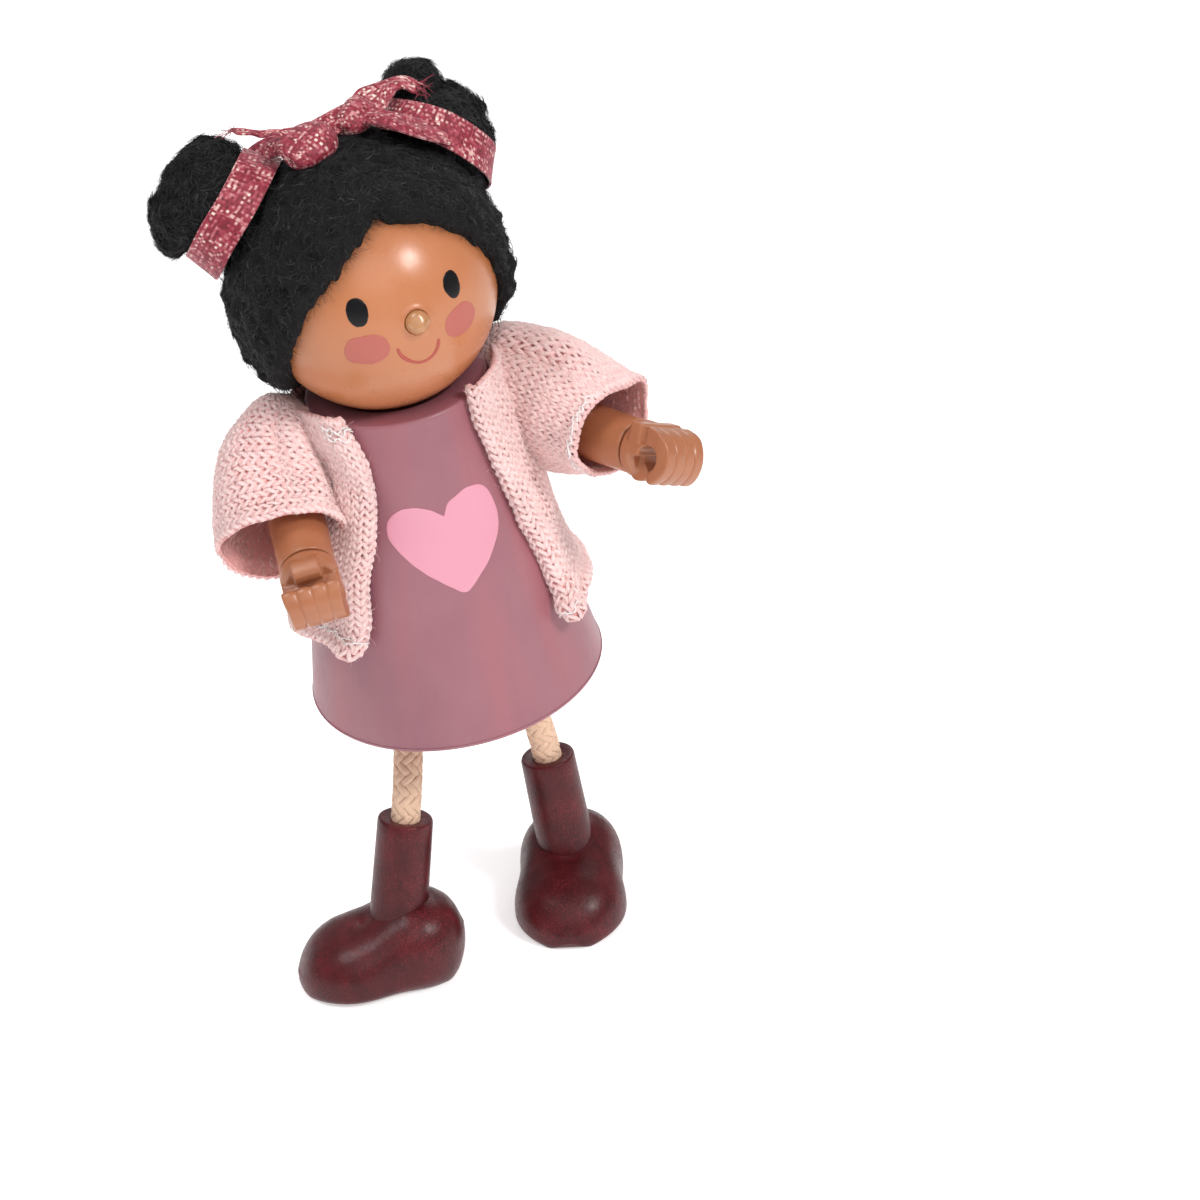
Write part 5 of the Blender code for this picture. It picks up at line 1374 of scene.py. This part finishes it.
def hand_shape():
    """Palm with its cuff, four fingers curled round a grip, and a broad thumb."""
    gy, gz, gr, fr = 0.35, 4.25, 1.35, 2.8
    outer = [(-2.95, 1.2), (-3.0, 3.4)]
    outer += [(0.1 + (fr + 0.1) * math.sin(math.radians(a)), gz - 0.05 + fr * math.cos(math.radians(a))) for a in range(-80, 66, 6)]
    tip = [(2.75, 5.15), (2.62, 4.92), (2.35, 4.75), (2.05, 4.72), (1.8, 4.85)]
    inner = [(gy + gr * math.sin(math.radians(a)), gz + gr * math.cos(math.radians(a))) for a in range(45, -181, -9)]
    fingers = outer + tip + inner + [(gy + 0.2, 1.2)]
    thumb = [(-0.5, 1.2), (2.95, 1.2), (3.12, 1.6), (3.15, 2.0), (3.08, 2.5), (2.9, 3.0), (2.5, 3.35), (1.95, 3.45),
             (1.5, 3.05), (1.0, 2.6), (-0.5, 2.4)]
    return fingers, thumb


def make_arm(side):
    reach = unit(REACH[side])
    back = WRIST[side] - reach * FOREARM_L
    along = unit(back - SHOULDER[side])
    x = np.cross(along, reach)
    fa = Frame(back, reach, x if np.linalg.norm(x) > 1e-3 else (0, 0, 1))
    prof = ([(0, 2.6), (2.05, 2.6), (2.05, 0.3)] + arc(2.35, 0.3, 0.3, 180, 270, 4)[1:] + arc(2.66, 0.34, 0.34, -90, 0, 6)
            + [(3.0 - 0.012 * i, 0.8 + i * 0.76) for i in range(9)] + arc(2.72, FOREARM_L - 0.2, 0.2, 0, 90, 5)
            + [(1.8, FOREARM_L), (1.8, FOREARM_L - 2.8), (0, FOREARM_L - 2.8)])
    v, f = lathe(prof, 96)
    put(side + "_forearm_plastic", fa.out(v), f, HAND, side + "_arm", (side + "_forearm",), sharp=40)
    z = reach
    y = unit(PALM[side] - PALM[side].dot(z) * z)
    hf = Frame(WRIST[side], z, np.cross(y, z))
    fingers, thumb = hand_shape()
    w = HAND_W / 2
    v1, f1 = lathe([(0, 0.3), (w - 0.15, 0.3), (w, 0.45), (w, 1.5), (w - 0.5, 2.0), (0, 2.1)], 64)
    v2, f2 = prism(fingers, w - 0.05)
    v3, f3 = prism(thumb, 1.42)
    verts = np.concatenate([v1, v2, v3])
    faces = list(f1) + [[i + len(v1) for i in g] for g in f2] + [[i + len(v1) + len(v2) for i in g] for g in f3]
    hand = put(side + "_hand_plastic", verts, faces, HAND)
    # It is shaped in its own frame, then set in place.
    smooth_remesh(hand, 0.11, 5)
    me = hand.data
    co = np.empty(len(me.vertices) * 3)
    me.vertices.foreach_get("co", co)
    co = co.reshape(-1, 3) / MM - ORIGIN
    nr = np.empty(len(me.vertices) * 3)
    me.vertices.foreach_get("normal", nr)
    nr = nr.reshape(-1, 3)
    X, Y, Z = co.T
    body_r = np.hypot(X, Y)
    # Grooves between the fingers, over the knuckles and the tips.
    over = smooth(3.2, 4.2, Z)
    dig = np.zeros(len(co))
    for x0, deep in ((-1.55, 0.13), (0.0, 0.09), (1.55, 0.13)):
        dig += deep * np.exp(-((X - x0) / 0.14) ** 2) * over
    knuckle = np.zeros(len(co))
    for x0 in (-2.35, -0.8, 0.8, 2.35):
        knuckle += 0.13 * np.exp(-((X - x0) / 0.62) ** 2) * np.exp(-((Z - 5.0) / 0.9) ** 2) * (Y > 1.4)
    step = 0.20 * smooth(2.5, 2.9, Z) * smooth(4.0, 3.2, Z) * (Y < -1.0)
    # The cuff keeps a round rim.
    co = co + nr * (knuckle - dig - step)[:, None]
    # Taper the fingertips' outer corners.
    far = smooth(5.4, 7.2, Z)
    co[:, 0] *= 1 - 0.10 * far
    spig, sf = lathe([(0, -2.4), (1.3, -2.4), (1.5, -2.2), (1.5, 0.45), (0, 0.45)], 40)
    base = len(co)
    all_v = np.concatenate([co, spig])
    faces = [list(p.vertices) for p in me.polygons] + [[i + base for i in g] for g in sf]
    bpy.data.objects.remove(hand, do_unlink=True)
    put(side + "_hand_plastic", hf.out(all_v), faces, HAND, side + "_hand", (side + "_hand",), sharp=60)
    # The cord from the bend at the shoulder into the forearm.
    sign = -1 if side == "right" else 1
    inner = BODY.out((sign * (SHOULDER_OUT - 5.5), 0, SHOULDER_H))
    tip = back + reach * 2.2
    line = even(np.stack([inner, BODY.out((sign * (SHOULDER_OUT - 2.8), 0, SHOULDER_H)), SHOULDER[side],
                          SHOULDER[side] + along * 2.6, back - reach * 0.2 + along * 0.2, tip]), 70)
    make_cord_piece(side + "_arm_cord_braid", line, 0, 69, 0, "torso", side + "_arm",
                    (side + "_arm_cord",), 60)


# ---------------------------------------------------------------------------- boots
FOOT_TOP = ((-7.7, 4.6), (-7.3, 6.4), (-6.3, 8.0), (-4.8, 9.0), (-3.0, 9.5), (-1.0, 9.5), (1.0, 8.7),
            (3.3, 7.5), (5.0, 7.0), (6.8, 6.6), (8.3, 5.9), (9.5, 5.0), (10.5, 3.8), (11.2, 2.5), (11.5, 1.7))
FOOT_SIDE = ((-7.7, 4.2), (-4.0, 3.4), (2.0, 1.9), (6.0, 1.5), (11.5, 1.4))
FOOT_UNDER = ((-7.7, 3.8), (-7.3, 2.4), (-6.5, 1.0), (-5.7, 0.3), (-5.1, 0.0), (10.7, 0.0), (11.2, 0.4), (11.5, 1.1))


def table(points, s, soft=0.35):
    """The table's value, with its corners rounded over a short distance."""
    p = np.array(points)
    out = 0
    for k in (-1, -0.5, 0, 0.5, 1):
        out = out + np.interp(np.clip(s + k * soft, p[0, 0], p[-1, 0]), p[:, 0], p[:, 1])
    return out / 5


def foot_half_width(s):
    total = 0.0
    for centre, half, width in ((5.7 - FOOT_HEEL, 5.7, HEEL_W / 2), (FOOT_TOE - 6.9, 6.9, TOE_W / 2)):
        total = total + (width * np.sqrt(np.clip(1 - ((s - centre) / half) ** 2, 0, None))) ** 6
    return total ** (1 / 6)


def make_boot(side):
    lean, at = unit(LEAN[side]), SHAFT[side]
    rows, seg = 84, 120
    mid, half = (FOOT_TOE - FOOT_HEEL) / 2, (FOOT_TOE + FOOT_HEEL) / 2
    k = np.arange(rows)
    s = mid - half * np.cos(PI * (k + 0.30) / (rows - 0.40))
    w = foot_half_width(s)
    top, sd, under = table(FOOT_TOP, s), table(FOOT_SIDE, s), np.maximum(0.0, table(FOOT_UNDER, s, 0.12))
    sd = np.clip(sd, under + 0.2, None)
    a = 2 * PI * np.arange(seg) / seg
    c, d = np.cos(a), np.sin(a)
    y = w[:, None] * (np.sign(c) * np.abs(c) ** 0.85)
    z_hi = sd[:, None] + (top - sd)[:, None] * np.abs(d) ** 0.85
    z_lo = sd[:, None] - (sd - under)[:, None] * np.minimum(1.0, 1.3 * np.abs(d) ** 0.7)
    z = np.where(d > 0, z_hi, z_lo)
    S = s[:, None] + 0 * y
    # A small dimple where the instep meets the shaft.
    dim = np.exp(-((S - 3.7) / 0.55) ** 2 - ((y - 0.2) / 0.9) ** 2) * (z > 6)
    z = z - 0.30 * dim
    v = np.stack([S, y, z], -1).reshape(-1, 3)
    f = grid_faces(rows, seg, wrap=True).tolist()
    f += [list(range(seg))[::-1], [(rows - 1) * seg + i for i in range(seg)]]
    under_pt = at - lean * (FOOT_H / 2 / lean[2])
    sole = Frame((under_pt[0], under_pt[1], 0), (0, 0, 1), (math.cos(TOE[side]), math.sin(TOE[side]), 0))
    foot = put(side + "_boot_foot_stain", sole.out(v), f, BOOT)
    fr = Frame(at, lean, (1, 0, 0))
    cv, cf = lathe([(0, -4.0), (3.27, -4.0), (3.27, 6.0), (0, 6.0)], 96)
    carve(foot, [put("cut", fr.out(cv), cf, BOOT)])
    foot.data.shade_smooth()
    foot.data.set_sharp_from_angle(angle=math.radians(48))
    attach(foot, side + "_boot")
    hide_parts(side + "_boot_foot")
    prof = ([(0, -3.7), (3.05, -3.7), (3.25, -3.4)] + [(3.245 - 0.0195 * max(0, i - 2), -3.0 + 1.28 * i) for i in range(11)]
            + arc(2.80, SHAFT_L - 0.24, 0.24, 10, 90, 6) + [(2.3, SHAFT_L - 0.03), (1.85, SHAFT_L - 0.12)]
            + arc(1.75, SHAFT_L - 0.26, 0.12, 90, 180, 4) + [(1.63, SHAFT_L - 6.4), (0, SHAFT_L - 6.4)])
    v, f = lathe(prof, 96)
    put(side + "_boot_shaft_stain", fr.out(v), f, BOOT, side + "_boot", (side + "_boot_shaft",), sharp=45)


# ---------------------------------------------------------------- stitches and seams
def sewing(cloths):
    """White sewing thread: along the left sleeve's hem, the right front hem and the collar."""
    r = np.random.default_rng(401)
    out = {}

    def thread(cl, us, vs, ws, wander=0.10):
        u, v, w = (even(np.stack([us, vs, ws], 1), 60).T)
        u = u + wander * r.normal(size=60) * 0.5
        w = w + 0.10 * np.sin(np.linspace(0, 26, 60))
        p, n = cl.at(u, v, w)
        return p, n
    zig = lambda u0, u1, v0, dv, steps, w: [(u0 + (u1 - u0) * i / steps, v0 + dv * (i % 2), w + 0.10 * ((i // 2) % 2))
                                            for i in range(steps + 1)]
    for key, cl, runs in (("left", cloths["left"], (zig(38.5, 51.5, 13.55, -0.45, 18, 0.60), zig(39.5, 47.0, 13.75, -0.30, 11, 0.66),
                                                    zig(44.0, 51.0, 13.35, 0.40, 10, 0.62))),
                          ("body", cloths["body"], (zig(60.5, 68.6, 2.3, -0.35, 9, 0.60), zig(63.0, 69.2, 1.7, 0.3, 8, 0.62),
                                                    zig(66.0, 69.4, 28.0, 0.6, 6, 0.62), zig(66.4, 69.2, 28.9, -0.5, 5, 0.68),
                                                    zig(65.8, 69.0, 27.3, 0.5, 5, 0.60), zig(0.3, 2.6, 0.9, 0.4, 4, 0.60)))):
        vs, fs, n = [], [], 0
        for run in runs:
            run = np.array(run, float)
            run[:, 1] = np.minimum(run[:, 1], cl.rows - 0.05)
            p, nn = thread(cl, run[:, 0], run[:, 1], run[:, 2])
            v, f = tubes(p[None], 0.085, 6, nn[None], caps=True)
            vs.append(v)
            fs += [[i + n for i in g] for g in f]
            n += len(v)
        v = np.concatenate(vs)
        name = ("left_sleeve" if key == "left" else "jacket_body") + "_thread"
        o = put(name, v, fs, THREAD, None, tint=np.tile((0.93, 0.88, 0.88), (len(v), 1)))
        if key == "body":
            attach(o, "torso")
        else:
            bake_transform(o)


# ------------------------------------------------------------------ stage and camera
def make_stage():
    me = bpy.data.meshes.new("floor")
    s = 3.0
    me.from_pydata([(-s, -s, 0), (s, -s, 0), (s, s, 0), (-s, s, 0)], [], [(0, 1, 2, 3)])
    k = Look("look_floor", (0.90, 0.90, 0.90), 0.75)
    k.colour(k.ramp(k.noise(400, 2), [(0.3, (0.895, 0.895, 0.900)), (0.7, (0.905, 0.905, 0.905))]))
    me.materials.append(k.mat)
    k.b.inputs["Emission Color"].default_value = (1, 1, 1, 1)
    k.b.inputs["Emission Strength"].default_value = 0.46
    floor = bpy.data.objects.new("floor", me)
    bpy.context.scene.collection.objects.link(floor)
    world = bpy.data.worlds.new("studio")
    world.use_nodes = True
    bg = world.node_tree.nodes["Background"]
    bg.inputs["Color"].default_value = (1.0, 0.995, 0.99, 1)
    bg.inputs["Strength"].default_value = 0.38
    bpy.context.scene.world = world

    def area(name, at, look, size, power, colour=(1, 1, 1)):
        lamp = bpy.data.lights.new(name, 'AREA')
        lamp.shape, lamp.size, lamp.size_y = 'RECTANGLE', size[0], size[1]
        lamp.energy, lamp.color = power, colour
        o = bpy.data.objects.new(name, lamp)
        o.location = at
        o.rotation_euler = (Vector(look) - Vector(at)).to_track_quat('-Z', 'Y').to_euler()
        bpy.context.scene.collection.objects.link(o)
    area("key_light", (0.300, -0.440, 0.520), (0, 0, 0.06), (0.15, 0.15), 2.45, (1.0, 0.985, 0.965))
    area("front_light", (-0.10, -0.52, 0.45), (0, 0, 0.06), (0.40, 0.40), 0.66, (0.97, 0.985, 1.0))
    area("top_light", (-0.26, -0.08, 0.62), (0, 0, 0.06), (0.24, 0.24), 1.45, (0.98, 0.99, 1.0))
    area("rim_light", (0.25, 0.50, 0.45), (0, 0, 0.06), (0.40, 0.30), 0.9)
    bpy.context.scene.view_settings.view_transform = 'Standard'


def make_camera():
    cam = bpy.data.cameras.new("camera")
    cam.lens, cam.sensor_width, cam.sensor_height, cam.sensor_fit = 90.94, 36.0, 36.0, 'AUTO'
    cam.clip_start, cam.clip_end = 0.01, 20
    o = bpy.data.objects.new("camera", cam)
    right, up, back = (unit(v) for v in ((0.9529, -0.2950, -0.0699), (0.2011, 0.4427, 0.8738), (-0.2269, -0.8467, 0.4812)))
    right = unit(np.cross(up, back))
    up = np.cross(back, right)
    m = Matrix([[right[i], up[i], back[i], 0] for i in range(3)] + [[0, 0, 0, 1]])
    at = (np.array((-59.847, -283.679, 200.208)) + ORIGIN) * MM
    m.translation = Vector(at)
    o.matrix_world = m
    bpy.context.scene.collection.objects.link(o)
    bpy.context.scene.camera = o


# -------------------------------------------------------------------------- assembly
make_camera()
make_stage()
make_torso()
make_heart()
make_head()
spot("right_eye_paint", -25.9, 10.4, 1.13, 1.45, 3, EYE, 0.05, 11)
spot("left_eye_paint", 22.3, 10.2, 1.02, 1.42, -6, EYE, 0.05, 13)
spot("right_cheek_paint", -25.1, -8.3, 2.35, 1.60, 2, CHEEK, 0.02, 15, 2.2)
spot("left_cheek_paint", 23.3, -7.7, 2.05, 1.65, 18, CHEEK, 0.02, 17, 2.2)
make_mouth()
make_cap()
make_bun("right")
make_bun("left")
make_ribbon()
cloths = make_jacket()
sewing(cloths)
make_arm("right")
make_arm("left")
make_legs()
make_boot("right")
make_boot("left")

for name, look in (("neck_dowel", WOOD), ("arm_cord_core", CORD), ("right_arm_wire", STEEL), ("left_arm_wire", STEEL),
                   ("right_leg_wire", STEEL), ("left_leg_wire", STEEL)):
    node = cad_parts[name]
    for slot in node.material_slots:
        slot.material = look
